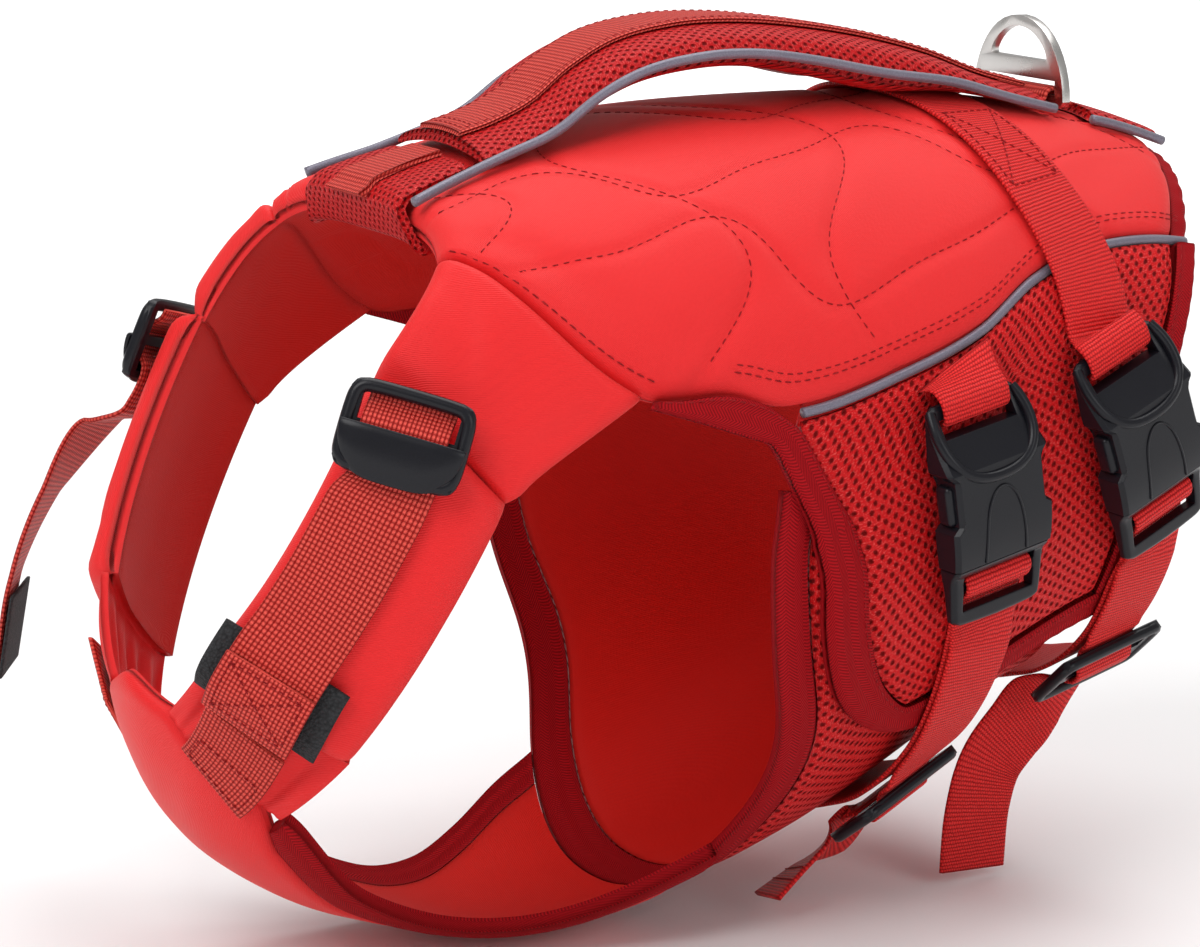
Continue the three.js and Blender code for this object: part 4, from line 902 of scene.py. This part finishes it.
for side_name, sign in SIDES:
    foot_y = np.linspace(-142, -121, 16)
    foot = back_top(sign * fold_half(foot_y), foot_y, FOOT_LIFT)
    foot[:, 0] = sign * (fold_half(foot_y) + PIPE_OUT)
    arch_y = np.linspace(-112, HANDLE_BACK, 130)
    arch = arch_at(sign * HANDLE_HALF + 0 * arch_y, arch_y, 0.62)
    arch[:, 0] = sign * (HANDLE_HALF + PIPE_OUT)
    path = smoothed(np.concatenate([foot, arch]), 6)
    piped(f"handle_piping_cord_{side_name}", path, upward + 0 * path, f"handle_piping_{side_name}")
    tail_y = np.linspace(97, 124, 24)
    tail = back_top(sign * (HANDLE_HALF + PIPE_OUT) + 0 * tail_y, tail_y, FOOT_LIFT)
    tail[:, 0] = sign * (HANDLE_HALF + PIPE_OUT)
    piped(f"tail_piping_cord_{side_name}", tail, upward + 0 * tail, f"tail_piping_{side_name}")
y, x = np.linspace(-117, 82, 400), np.linspace(-11, 11, 60)
crown_lines = [arch_at(at + 0 * y, y, 1) for at in (-10.8, 10.8)]
crown_lines += [arch_at(x, at + 0 * x, 1) for at in (-117, -114, 79, 82)]
crown_lines = [(line + upward * (GAP + PLY), upward + 0 * line) for line in crown_lines]
stitched("handle_stitching", crown_lines, length=2.2)


# Leash ring and its saddle. A D stamped from 3 mm steel and tumbled smooth, which swings about its lower
# bar; a doubled piece of webbing sewn to the back holds the bar.
def picked(piece):
    """Makes a piece the one that is selected and active."""
    bpy.ops.object.select_all(action="DESELECT")
    bpy.context.view_layer.objects.active = piece
    piece.select_set(True)


def coordinates(mesh):
    return np.array([v.co for v in mesh.vertices])


def moved_to(mesh, spots):
    """Moves a mesh's vertices to places in metres."""
    mesh.vertices.foreach_set("co", spots.astype(np.float32).ravel())
    mesh.update()


def bevelled(piece, width, sharp):
    """Rounds a piece's edges that are sharper than so many degrees."""
    edge = piece.modifiers.new("edge", "BEVEL")
    edge.width, edge.segments = width, 3
    edge.limit_method, edge.angle_limit = "ANGLE", math.radians(sharp)
    bpy.ops.object.modifier_apply(modifier="edge")


def smooth_up_to(degrees):
    bpy.ops.object.shade_smooth_by_angle(angle=math.radians(degrees))


def softened(node, name, width, material, levels=0, body="jacket", reshape=None):
    """A copy of a node's shape with its doubles merged, reshaped if asked, and its edges rounded."""
    mesh = nodes[node].data.copy()
    mesh.name = name
    mesh.materials.clear()
    piece = linked(name, mesh)
    picked(piece)
    if mesh.has_custom_normals:
        bpy.ops.mesh.customdata_custom_splitnormals_clear()
    bpy.ops.object.mode_set(mode="EDIT")
    bpy.ops.mesh.select_all(action="SELECT")
    bpy.ops.mesh.remove_doubles(threshold=0.00002)
    bpy.ops.mesh.tris_convert_to_quads(face_threshold=0.5, shape_threshold=1.2)
    bpy.ops.object.mode_set(mode="OBJECT")
    if reshape:
        moved_to(mesh, reshape(coordinates(mesh) * 1000) / 1000)
    bevelled(piece, width, 32)
    if levels:
        soft = piece.modifiers.new("soft", "SUBSURF")
        soft.levels = soft.render_levels = levels
        bpy.ops.object.modifier_apply(modifier="soft")
    smooth_up_to(38)
    piece.select_set(False)
    return finished(piece, [material], node, body)


steel, tree, shader, uv = material("Tumbled steel", Metallic=1.0)
place = put(tree, "TexCoord").outputs["Object"]
wear = noise(tree, place, 90.0, 3.0)
feed(tree, shader.inputs, Base_Color=blend(tree, wear, (0.50, 0.48, 0.46, 1), (0.66, 0.64, 0.62, 1)),
     Roughness=put(tree, "MapRange", Value=wear, To_Min=0.2, To_Max=0.36).outputs["Result"])
bump(tree, shader, noise(tree, place, 900.0, 3.0), 0.00003, 0.5)
softened("leash_ring", "leash_ring_steel", 0.0007, steel, body="ring")

# The outline of webbing's section, as shares of its width and its thickness.
SECTION = np.array([
    (0, 0.3), (0, 0.7), (0.025, 0.95), (0.09, 1), (0.25, 1), (0.5, 1), (0.75, 1), (0.91, 1), (0.975, 0.95),
    (1, 0.7), (1, 0.3), (0.975, 0.05), (0.91, 0), (0.75, 0), (0.5, 0), (0.25, 0), (0.09, 0), (0.025, 0.05),
])


def webbing(name, rows, cloth, node):
    """A closed band of webbing from the rows of its two edges, (low, high), each (n, 2, 3)."""
    low, high = rows
    x, y = SECTION[:, 0][None, :, None], SECTION[:, 1][None, :, None]
    points = mix(mix(low[:, :1], low[:, 1:], x), mix(high[:, :1], high[:, 1:], x), y)
    run = np.append(SECTION[:, 0], 0) * np.linalg.norm(low[:, 1] - low[:, 0], axis=1).mean()
    return finished(linked(name, closed_mesh(name, *looped(points, run))), [cloth], node)


def threaded(points, wides, steps, width=WEBBING, thick=PLY):
    """Webbing along a smooth curve through points, with the direction of its width at each."""
    points, wides = np.array(points, float), np.array(wides, float)
    last = len(points) - 1
    reach = np.concatenate([[2 * points[0] - points[1]], points, [2 * points[-1] - points[-2]]])

    def curve(t):
        place = np.clip(t, 0, 1) * last
        i = np.minimum(place.astype(int), last - 1)
        w = (place - i)[:, None]
        p0, p1, p2, p3 = (reach[i + k] for k in range(4))
        chords = (p1 - p0, p2 - p1, p3 - p2)
        d0, d1, d2 = (np.linalg.norm(chord, axis=1, keepdims=True) ** 0.5 for chord in chords)
        t1 = ((p1 - p0) / d0 - (p2 - p0) / (d0 + d1) + (p2 - p1) / d1) * d1
        t2 = ((p2 - p1) / d1 - (p3 - p1) / (d1 + d2) + (p3 - p2) / d2) * d1
        return p1 + t1 * w + (3 * p2 - 3 * p1 - 2 * t1 - t2) * w ** 2 + (2 * p1 - 2 * p2 + t1 + t2) * w ** 3

    t = np.linspace(0, 1, steps + 1)
    p = curve(t)
    ahead = unit(curve(np.minimum(t + 1e-4, 1)) - curve(np.maximum(t - 1e-4, 0)))
    i = np.minimum((t * last).astype(int), last - 1)
    wide = mix(wides[i], wides[i + 1], (t * last - i)[:, None])
    wide = unit(wide - ahead * (wide * ahead).sum(-1, keepdims=True))
    low = np.stack([p - wide * width / 2, p + wide * width / 2], 1)
    return low, low + np.cross(wide, ahead)[:, None] * thick


def joined(*bands):
    return np.concatenate([b[0] for b in bands]), np.concatenate([b[1] for b in bands])


def eased(rows, places, reach, passes):
    """The same band with the bends at its joints drawn out."""
    rows = [part.copy() for part in rows]
    for place in places:
        for part in rows:
            smoothed(part[max(place - reach, 0):place + reach], passes)
    return rows[0], rows[1]


def on_band(rows, along_share, across_share, lift=0.12):
    """Points and outward directions on a band's outer face, for its stitches."""
    low, high = rows
    place = np.asarray(along_share) * (len(low) - 1)
    marks = np.arange(len(low))
    x = np.asarray(across_share)[:, None]
    top, under = (mix(*(between(place, marks, part[:, k]) for k in (0, 1)), x) for part in (high, low))
    up = unit(top - under)
    return top + up * lift, up


def boxed(rows, first, last, cross=True):
    """A stitched box between two shares of a band's length, with its two diagonals."""
    t = np.linspace(0, 1, 60)
    down, over = mix(first, last, t), mix(0.1, 0.9, t)
    lines = [(down, 0.1 + 0 * t), (down, 0.9 + 0 * t), (first + 0 * t, over), (last + 0 * t, over)]
    if cross:
        lines += [(down, over), (down, mix(0.9, 0.1, t))]
    return [on_band(rows, a, b) for a, b in lines]


RING_Y, RING_LIFT, SADDLE_WIDTH = 92, 2.9, 36
RING_Z = back_top(0.0, float(RING_Y))[2] + RING_LIFT
SADDLE = [(-7, -1), (-5, -0.8), (-3.1, 0.4), (-2.2, 2.3), (0, 3), (2.2, 2.3), (3.1, 0.4), (5, -1.6),
          (6.6, -2.2)]
saddle_points = [(0, RING_Y + y, RING_Z + z) for y, z in SADDLE]
saddle = threaded(saddle_points, [(1, 0, 0)] * len(SADDLE), 60, SADDLE_WIDTH)
webbing("ring_saddle", saddle, salmon_webbing, "ring_webbing")
across = np.linspace(0.05, 0.95, 50)
saddle_lines = [on_band(saddle, at + 0 * across, across) for at in (0.07, 0.15, 0.87, 0.95)]
stitched("ring_saddle_stitching", saddle_lines, length=1.8)


# Belly straps. Red ribbed webbing 25 mm wide: from the piped seam, or over the spine, round the belly,
# through the plug's bars and back under itself to a triglide, with a free tail.
def station_at(y, deg):
    """The station at which the form's surface at this angle reaches a given y."""
    s = np.asarray(y, float) + 60
    for _ in range(12):
        s = s + y - bare(s, deg)[..., 1]
    return s


def beside(s, deg, direction, distance):
    """The place on the form some distance beside (s, deg), in the tangent direction given."""
    ds = bare(s + 0.5, deg) - bare(s - 0.5, deg)
    dd = bare(s, deg + 0.5) - bare(s, deg - 0.5)
    ss, sd, ddd = ((a * b).sum(-1) for a, b in ((ds, ds), (ds, dd), (dd, dd)))
    gs, gd = ((direction * step).sum(-1) * distance for step in (ds, dd))
    det = ss * ddd - sd * sd
    return s + (gs * ddd - gd * sd) / det, deg + (gd * ss - gs * sd) / det


def laid(path, outs, first, last, steps, width=WEBBING, thick=PLY, slants=(0, 0), reach=10):
    """Webbing laid on the form along a centre line, its edges following the form too."""
    t = np.linspace(0, 1, steps + 1)
    deg = mix(first, last, t)
    s, out = station_at(along(path, "y", deg), deg), outs(deg)
    wide = unit(np.cross(unit(np.gradient(on_form(s, deg, out), axis=0)), normal_at(s, deg)))
    slant = slants[0] * np.clip(1 - t * reach, 0, 1) + slants[1] * np.clip(1 - (1 - t) * reach, 0, 1)
    edges = [beside(s, deg, wide, x * width) + (x * slant,) for x in (-0.5, 0.5)]
    low = np.stack([on_form(a, b + turn, out) for a, b, turn in edges], 1)
    return low, np.stack([on_form(a, b + turn, out + thick) for a, b, turn in edges], 1)


def turned(rows):
    return rows[1][:, ::-1], rows[0][:, ::-1]


def seat(path, first, last, lift):
    """Where hardware lies on a strap: its axes (across, down the strap, outwards) and its middle."""
    at = lambda deg, out: on_form(station_at(along(path, "y", deg), deg), deg, out)
    middle = (first + last) / 2
    down = unit(at(last, 0.0) - at(first, 0.0))
    out = normal_at(station_at(along(path, "y", middle), middle), middle)
    out = unit(out - down * (out @ down))
    return np.array([np.cross(down, out), down, out]), at(middle, lift)


def placed(where, points):
    return np.asarray(points, float) @ where[0] + where[1]


def curved(y, z, x=0.0):
    return np.stack(np.broadcast_arrays(x, y, z - BUCKLE_BEND * (np.asarray(y, float) / 34) ** 2), -1)


BUCKLE_BEND, BUCKLE_LIFT, FRAME_LIFT, SEAM_SLANT = 2.4, SIDE_OUT + 3.8, 6.8, 4.6
STAND_OFF = table("deg out", (60, 10.2), (114, 10.2), (127, 10.3), (135, 9.6), (149, 7.2), (160, 5.1),
                  (220, 4.9), (226, 7), (231.5, 10.6), (239, 10.4), (246, 10.2), (290, 10.2), (310, 9.8),
                  (360, 9.8))
# How the webbing runs through the hardware: places down the strap and outwards, in the hardware's frame.
OVER_END_BAR = np.array([
    (-38, 0.4), (-36, 2.6), (-34, 3.6), (-31.5, 3.7), (-29.7, 3.3), (-28.7, 1.6), (-28.5, -0.4),
])
ROUND_BAR = np.array([
    (37, -3.4), (33, -3.25), (30, -3.15), (27.5, -2.95), (25, -2.3), (22.8, -1.2), (20.6, -0.5), (18.8, 0.8),
    (18.35, 3), (18.9, 5.3), (21, 6.6), (23.6, 6.4), (25.8, 4.7), (27.2, 2.2), (28.3, 0.6), (30.5, 0.2),
    (34, -0.1), (38, -1.2),
])
THROUGH_FRAME = np.array([
    (-14, -1.95), (-10.5, -2), (-7.4, -1.2), (-4.4, 1.6), (-2, 3.4), (0, 3.6), (2, 3.4), (4.4, 1.6),
    (7.4, -1.2), (10.5, -2), (14, -1.95),
])
STRAPS = [
    dict(name="front", buckle=(75, 104), frame=(142, 154), upper=(72.2, 69.6), inner=(290.2, 113),
         outer=(111, 139), reach=34,
         path=table("deg y", (69, 1), (75, 3), (90, 8.5), (105, 13.5), (127, 10), (148, 5), (212, 5),
                    (233, 10), (255, 13.5), (270, 8.5), (285, 3), (291, 1)),
         tail=[(38, 0, -221), (38, -12, -228), (37, -25, -237)],
         tail_wide=[(-0.3, 0.9, 0), (-0.75, 0.6, -0.1), (-0.85, 0.4, -0.1)]),
    dict(name="rear", buckle=(73, 106), frame=(133, 147), upper=None, inner=(430, 114),
         outer=(112, 130), reach=60,
         path=table("deg y", (60, 57.5), (72, 59), (90, 70), (106, 80.5), (127, 80), (140, 79), (220, 79),
                    (233, 80), (254, 80.5), (270, 70), (288, 59), (303, 57), (323, 50), (345, 44), (360, 41),
                    (375, 44), (397, 50), (417, 57), (432, 59)),
         tail=[(42, 74, -186), (43, 64, -194), (43, 55, -204), (42, 51, -219), (41, 50, -239)],
         tail_wide=[(0, 0.9, -0.4), (0, 0.75, -0.65), (0, 0.85, -0.5), (0, 1, -0.1), (0, 1, 0)]),
]


def stand_off(deg):
    return along(STAND_OFF, "out", np.minimum(deg, 360))


seats, strap_lines = {}, []
for strap in STRAPS:
    name, path = strap["name"], strap["path"]
    buckle = seat(path, *strap["buckle"], BUCKLE_LIFT)
    bars = seat(path, *strap["frame"], float(stand_off(sum(strap["frame"]) / 2)) + FRAME_LIFT)
    seats[name] = dict(buckle=buckle, bars=bars)
    start, wrap = (
        threaded(placed(buckle, curved(*rows.T)), [-buckle[0][0]] * len(rows), steps)
        for rows, steps in ((OVER_END_BAR[::-1], 40), (ROUND_BAR, 120)))
    slants = (SEAM_SLANT if strap["upper"] else 0, 0)
    inner = laid(path, stand_off, *strap["inner"], strap["reach"] * 4, slants=slants, reach=strap["reach"])
    outer = turned(laid(path, lambda deg: stand_off(deg) + PLY + GAP, *strap["outer"], 30))
    frame_points = placed(bars, np.insert(THROUGH_FRAME, 0, 0, axis=1))
    wides = [-bars[0][0]] * len(frame_points) + strap["tail_wide"]
    end = threaded([*frame_points, *strap["tail"]], wides, 150)
    joints = np.cumsum([len(band[0]) for band in (inner, wrap, outer)])
    lower = eased(joined(inner, wrap, outer, end), [joints[0], joints[2]], 7, 6)
    if strap["upper"]:
        upper = laid(path, stand_off, *strap["upper"], 12, slants=(0, -SEAM_SLANT), reach=2)
        span = np.linspace(0, 1, 16)[1:, None, None]
        ruled = tuple(mix(a[-1][None], b[-1][None], span) for a, b in zip(start, upper))
        webbing(f"{name}_upper_strap", eased(joined(start, ruled), [len(start[0])], 13, 30), red_webbing,
                f"{name}_upper_webbing")
    else:
        lower = joined(start, lower)
        strap_lines += boxed(inner, 0.10, 0.165) + boxed(inner, 0.285, 0.35)
    webbing(f"{name}_belly_strap", lower, red_webbing, f"{name}_strap_webbing")
    n = np.linspace(0.06, 0.94, 60)
    strap_lines += [on_band(end, 0.965 + 0 * n, n), on_band(end, 0.94 + 0 * n, n)]
stitched("strap_stitching", strap_lines, length=2.0, radius=0.24)


# Buckles. Side-release buckles moulded in black nylon: the socket has flared wings round a dished
# mouth for its webbing and a raised arch, the plug's prongs show in its sides.
plastic, tree, shader, uv = material("Black moulded nylon", Specular_IOR_Level=0.26)
place = put(tree, "TexCoord").outputs["Object"]
fine = noise(tree, place, 2200.0, 2.0)
shine = put(tree, "MapRange", Value=noise(tree, place, 70.0, 3.0), To_Min=0.24, To_Max=0.38)
feed(tree, shader.inputs, Base_Color=blend(tree, fine, (0.004, 0.004, 0.006, 1), (0.009, 0.009, 0.013, 1)),
     Roughness=shine.outputs["Result"])
bump(tree, shader, fine, 0.00004, 0.5)


def moulded_bead(name, path, radius, closed=False):
    """A rounded moulded ridge along points, made as a bevelled curve and turned into a mesh."""
    curve = bpy.data.curves.new(name, "CURVE")
    curve.dimensions, curve.use_fill_caps = "3D", True
    curve.bevel_depth, curve.bevel_resolution = radius / 1000, 4
    line = curve.splines.new("NURBS")
    line.points.add(len(path) - 1)
    for point, spot in zip(line.points, np.asarray(path) / 1000):
        point.co = (*spot, 1)
    line.use_endpoint_u, line.use_cyclic_u, line.order_u, line.resolution_u = not closed, closed, 4, 10
    piece = linked(name, curve)
    picked(piece)
    bpy.ops.object.convert(target="MESH")
    piece.data.materials.clear()
    piece.data.shade_smooth()
    piece.select_set(False)
    return finished(piece, [plastic])


def rounded_block(name, where, middle, size, radius):
    """A block with rounded edges, set in the frame of a buckle."""
    bpy.ops.object.select_all(action="DESELECT")
    bpy.ops.mesh.primitive_cube_add(size=1)
    piece = bpy.context.active_object
    piece.name = piece.data.name = name
    bpy.ops.object.mode_set(mode="EDIT")
    bpy.ops.mesh.select_all(action="SELECT")
    bpy.ops.transform.resize(value=tuple(v / 1000 for v in size))
    bpy.ops.mesh.bevel(offset=radius / 1000, segments=4, affect="EDGES")
    bpy.ops.object.mode_set(mode="OBJECT")
    x, y, z = (coordinates(piece.data) * 1000 + middle).T
    moved_to(piece.data, placed(where, curved(y, z, x)) / 1000)
    smooth_up_to(38)
    piece.select_set(False)
    return finished(piece, [plastic])


# The rims of the socket's mouth and of its raised arch, as (across, down the strap, outwards).
MOUTH_HALF = [(-15.6, -32.5, 2.0), (-17, -29, 4.2), (-17.2, -24, 6.8), (-15.6, -18.5, 9.2),
              (-11.5, -14, 10.6), (-5, -11.6, 11.1)]
ARCH_HALF = [(-7.8, 14.2, 9.8), (-7.6, 9, 10.7), (-6.9, 2, 10.9), (-5.4, -4, 10.95), (-2.6, -7.6, 10.95)]
MOUTH_RIM, ARCH_RIM = (np.array(half + crown + [(-x, y, z) for x, y, z in half[::-1]])
                       for half, crown in ((MOUTH_HALF, []), (ARCH_HALF, [(0, -8.6, 10.95)])))
RECESS_FROM, RECESS_TO = [-60, -17, -8, -5.5, -4, 0.5, 60], [-60, -17, -15.6, -13.2, -6, 0.5, 60]
PLUG_END = 32.5
PRONG, PRONG_SIZE, PRONG_ROUND = (16.7, -5.6, 5.0), (3.8, 12.4, 6.4), 1.7
for name, where in seats.items():
    def moulded_shape(points):
        """Longer side recesses for the prongs, and a rounder end on the plug."""
        axes, middle = where["buckle"]
        local = (points - middle) @ axes.T
        x, y = local[:, 0].copy(), local[:, 1].copy()
        local[:, 1] = np.interp(y, RECESS_FROM, RECESS_TO)
        rounder = -1.5 + 2.6 * np.sqrt(np.clip(1 - (x / 18.5) ** 2, 0, 1))
        local[:, 1] += np.where(y > PLUG_END, rounder, 0)
        return placed(where["buckle"], local)

    for half in ("socket", "plug"):
        node = f"{name}_buckle_{half}"
        softened(node, f"{node}_moulded", 0.0011, plastic, 1, reshape=moulded_shape)
    for label, rim, radius in (("mouth", MOUTH_RIM, 1.7), ("oval", ARCH_RIM, 0.4)):
        line = placed(where["buckle"], curved(rim[:, 1], rim[:, 2], rim[:, 0]))
        moulded_bead(f"{name}_buckle_{label}", line, radius)
    for label, sign in (("left", -1), ("right", 1)):
        middle = np.array(PRONG) * (sign, 1, 1)
        rounded_block(f"{name}_buckle_prong_{label}", where["buckle"], middle, PRONG_SIZE, PRONG_ROUND)


# Triglides and shoulder sliders. Flat frames of three bars with round corners, moulded in the same
# black nylon.
CORNER = 4.5


def round_cornered(spots):
    """A flat frame's vertices with those near its four corners brought in to an arc."""
    centre = spots.mean(0)
    axes = np.linalg.svd(spots - centre, full_matrices=False)[2]
    local = (spots - centre) @ axes.T
    flat = local[:, :2]
    start = np.abs(flat).max(0) - CORNER
    over = np.clip(np.abs(flat) - start, 0, None)
    share = np.minimum(1, CORNER / np.maximum(np.linalg.norm(over, axis=1, keepdims=True), CORNER))
    both = over.min(1) > 0
    local[both, :2] = (np.sign(flat) * (start + over * share))[both]
    return centre + local @ axes


for node in ("front_triglide", "rear_triglide", "shoulder_slider_left", "shoulder_slider_right"):
    softened(node, f"{node}_moulded", 0.0008, plastic, reshape=round_cornered)


def frame_rim(half, long, lift, corner=3.5):
    """The rounded outline of a frame of bars, in its own x, y and z."""
    a = np.radians([0, 30, 60, 90])
    turn = np.stack([half - corner + corner * np.cos(a), long - corner + corner * np.sin(a)], -1)
    flat = np.concatenate([turn, turn[::-1] * (-1, 1), turn * (-1, -1), turn[::-1] * (1, -1)])
    return np.concatenate([flat, np.full((len(flat), 1), lift)], 1)


for name, where in seats.items():
    rim = placed(where["bars"], frame_rim(21.6, 10.4, 0.45))
    moulded_bead(f"{name}_triglide_rim", rim, 1.9, closed=True)


# Shoulder straps. Webbing from a slider at each flap's hem down the sleeve to a black hook pad, and a
# short length sewn over the tab onto the chest plate. The right one hangs loose from its slider.
SLEEVE_TOP, PAD_WIDTH, PAD_THICK = SLEEVE_WALL + 2, 37, 1.2
SHOULDER = table("deg y", *(
    (deg, float(bare(s, deg)[1]))
    for s, deg in ((-131.5, 90.5), (-130, 96), (-127, 112), (-123.5, 129), (-118, 141.5), (-112, 158))))
SHOULDER_OUT = table("deg out", (90, SLEEVE_TOP + 0.5), (124, SLEEVE_TOP + 0.5), (128, SLEEVE_TOP + 2.6),
                     (135, SLEEVE_TOP + 2.7), (137.5, 15.7), (141.5, 12.6))
UNDER_OUT = table("deg out", (128, SLEEVE_TOP + 1.1), (135, SLEEVE_TOP + 1.2), (138, 13.8), (141.5, 10.4),
                  (149, 7.4), (158, 5.8))
# The loose strap's places below its slider, and the direction of its width at each.
LOOSE = [(93, -190, -92), (97, -205, -112), (99, -217, -138), (100, -222, -166)]
LOOSE_WIDE = [(-0.4, -0.9, 0), (-0.75, -0.65, 0), (-0.85, -0.5, 0), (-0.85, -0.5, 0)]

hook_tape, tree, shader, uv = material("Hook tape", Roughness=0.9)
hooks = put(tree, "TexVoronoi", Vector=uv, Scale=1100.0).outputs["Distance"]
feed(tree, shader.inputs, Base_Color=blend(tree, hooks, (0.030, 0.030, 0.033, 1), (0.004, 0.004, 0.005, 1)))
bump(tree, shader, hooks, 0.0005)


def mirrored(rows):
    return rows[0] * (-1, 1, 1), rows[1] * (-1, 1, 1)


def shoulder_over(deg):
    return along(SHOULDER_OUT, "out", deg)


def shoulder_under(deg):
    return along(UNDER_OUT, "out", deg)


def at_bars(rows):
    return placed(bars, np.insert(rows - (0, PLY), 0, 0, axis=1))


bars = seat(SHOULDER, 89, 99.5, SLEEVE_TOP + 3.1)
rows = THROUGH_FRAME[1:]
top = threaded(at_bars(rows), [bars[0][0]] * len(rows), 80)
near_strap = eased(joined(top, laid(SHOULDER, shoulder_over, 103, 141.5, 70)), [len(top[0])], 8, 8)
for side_name, sign in SIDES:
    rim = placed(bars, frame_rim(16.6, 11.4, 0.5, 4.5)) * (sign, 1, 1)
    moulded_bead(f"shoulder_slider_rim_{side_name}", rim, 2.0, closed=True)
    bpy.ops.object.select_all(action="DESELECT")
    bpy.ops.mesh.primitive_grid_add(x_subdivisions=18, y_subdivisions=12, size=2)
    lip = bpy.context.active_object
    lip.name = lip.data.name = f"shoulder_slider_lip_{side_name}"
    x, y = coordinates(lip.data)[:, :2].T
    y = (y + 1) / 2
    half = 18.2 - 4.6 * y ** 2.2
    down = mix(-0.6, 14.6, y) - 2.6 * np.abs(x) ** 4 * y
    high = 5.2 - 3.0 * y ** 2.6 - 1.5 * np.abs(x) ** 5 - 0.5 * np.clip(1 - y / 0.1, 0, 1) ** 2
    moved_to(lip.data, placed(bars, np.stack([x * half, down, high], -1)) * (sign, 1, 1) / 1000)
    if np.dot(np.array(lip.data.polygons[60].normal), bars[0][2] * (sign, 1, 1)) < 0:
        lip.data.flip_normals()
    shell = lip.modifiers.new("shell", "SOLIDIFY")
    shell.thickness, shell.offset = 0.0014, -1
    bpy.ops.object.modifier_apply(modifier="shell")
    bevelled(lip, 0.0005, 50)
    smooth_up_to(45)
    lip.select_set(False)
    finished(lip, [plastic])
anchor = laid(SHOULDER, shoulder_under, 143, 157, 30)
pad = laid(SHOULDER, shoulder_under, 128.5, 141, 30, PAD_WIDTH, PAD_THICK)
fold = laid(SHOULDER, lambda deg: shoulder_over(deg) + PLY + GAP, 131, 141, 30)
rows = np.concatenate([THROUGH_FRAME[1:], [(19, -1.2), (24, 0.5)]])
loose = threaded([*at_bars(rows), *LOOSE], [*([bars[0][0]] * len(rows)), *LOOSE_WIDE], 160)
first, last, wide = (np.array(v, float) for v in (LOOSE[2], LOOSE[3], LOOSE_WIDE[3]))
under = unit(np.cross(last - first, unit(wide))) * (PAD_THICK + 2 * GAP)
pad_points = [mix(first, last, t) + under for t in (0.15, 0.6, 1.05)]
loose_pad = threaded(pad_points, [unit(wide)] * 3, 24, PAD_WIDTH, PAD_THICK)
webbing("shoulder_strap_left", near_strap, salmon_webbing, "shoulder_webbing_left")
webbing("chest_strap_left", anchor, salmon_webbing, "chest_webbing_left")
webbing("chest_strap_right", mirrored(anchor), salmon_webbing, "chest_webbing_right")
webbing("hook_pad_left_tape", pad, hook_tape, "hook_pad_left")
webbing("shoulder_strap_fold", fold, salmon_webbing, "shoulder_webbing_fold")
webbing("shoulder_strap_right", mirrored(loose), salmon_webbing, "shoulder_webbing_right")
webbing("hook_pad_right_tape", mirrored(loose_pad), hook_tape, "hook_pad_right")
lines = boxed(fold, 0.1, 0.86) + boxed(anchor, 0.5, 0.92, False) + boxed(mirrored(anchor), 0.5, 0.92, False)
stitched("shoulder_stitching", lines, length=1.8, radius=0.24)


# Floor, light and camera. A pale seamless floor with a painted glow that brightens it to white with
# distance, soft studio light from above and from both sides, and the photograph's view: from the front left,
# a little above.
def aimed(piece, spot, target):
    piece.location = spot
    piece.rotation_euler = (Vector(target) - Vector(spot)).to_track_quat("-Z", "Y").to_euler()


bpy.ops.object.select_all(action="DESELECT")
bpy.ops.mesh.primitive_plane_add(size=30, location=(0, 0, cad_box[0][2] - 0.0008))
floor = bpy.context.active_object
floor.name = "floor"
pale, tree, shader, uv = material("Pale floor", Roughness=0.7, Emission_Strength=0.75)
speck = put(tree, "TexNoise", Scale=3.0, Detail=2.0).outputs["Fac"]
# Painted glow: the floor's emission rises with distance from the middle, in place of light on the far floor.
far = put(tree, "VectorMath", "LENGTH", i0=put(tree, "TexCoord").outputs["Object"]).outputs["Value"]
far = put(tree, "MapRange", Value=far, From_Min=0.5, From_Max=2.2)
far.interpolation_type = "SMOOTHSTEP"
feed(tree, shader.inputs, Base_Color=blend(tree, speck, (0.90, 0.90, 0.90, 1), (0.93, 0.93, 0.93, 1)),
     Emission_Color=far.outputs["Result"])
floor.data.materials.append(pale)

world = bpy.data.worlds.new("studio")
bpy.context.scene.world = world
world.use_nodes = True
feed(world.node_tree, world.node_tree.nodes["Background"].inputs, Color=(1, 1, 1, 1), Strength=0.42)
for label, spot, size, energy in (("key", (0.6, -1.5, 1.6), 1.5, 27), ("side", (2.0, 0.4, 0.8), 1.2, 8),
                                  ("top", (-0.5, 0.5, 2.0), 2.2, 36)):
    data = bpy.data.lights.new(label, "AREA")
    data.shape, data.size, data.energy = "DISK", size, energy
    aimed(linked(label, data), spot, (0, -0.03, -0.1))

camera_data = bpy.data.cameras.new("camera")
camera_data.lens, camera_data.sensor_width, camera_data.clip_end = 114, 36, 60
camera = linked("camera", camera_data)
aimed(camera, (0.9886, -0.6353, 0.1491), (0, -0.0645, -0.104))
bpy.context.scene.camera = camera
bpy.context.scene.view_settings.view_transform = "Standard"
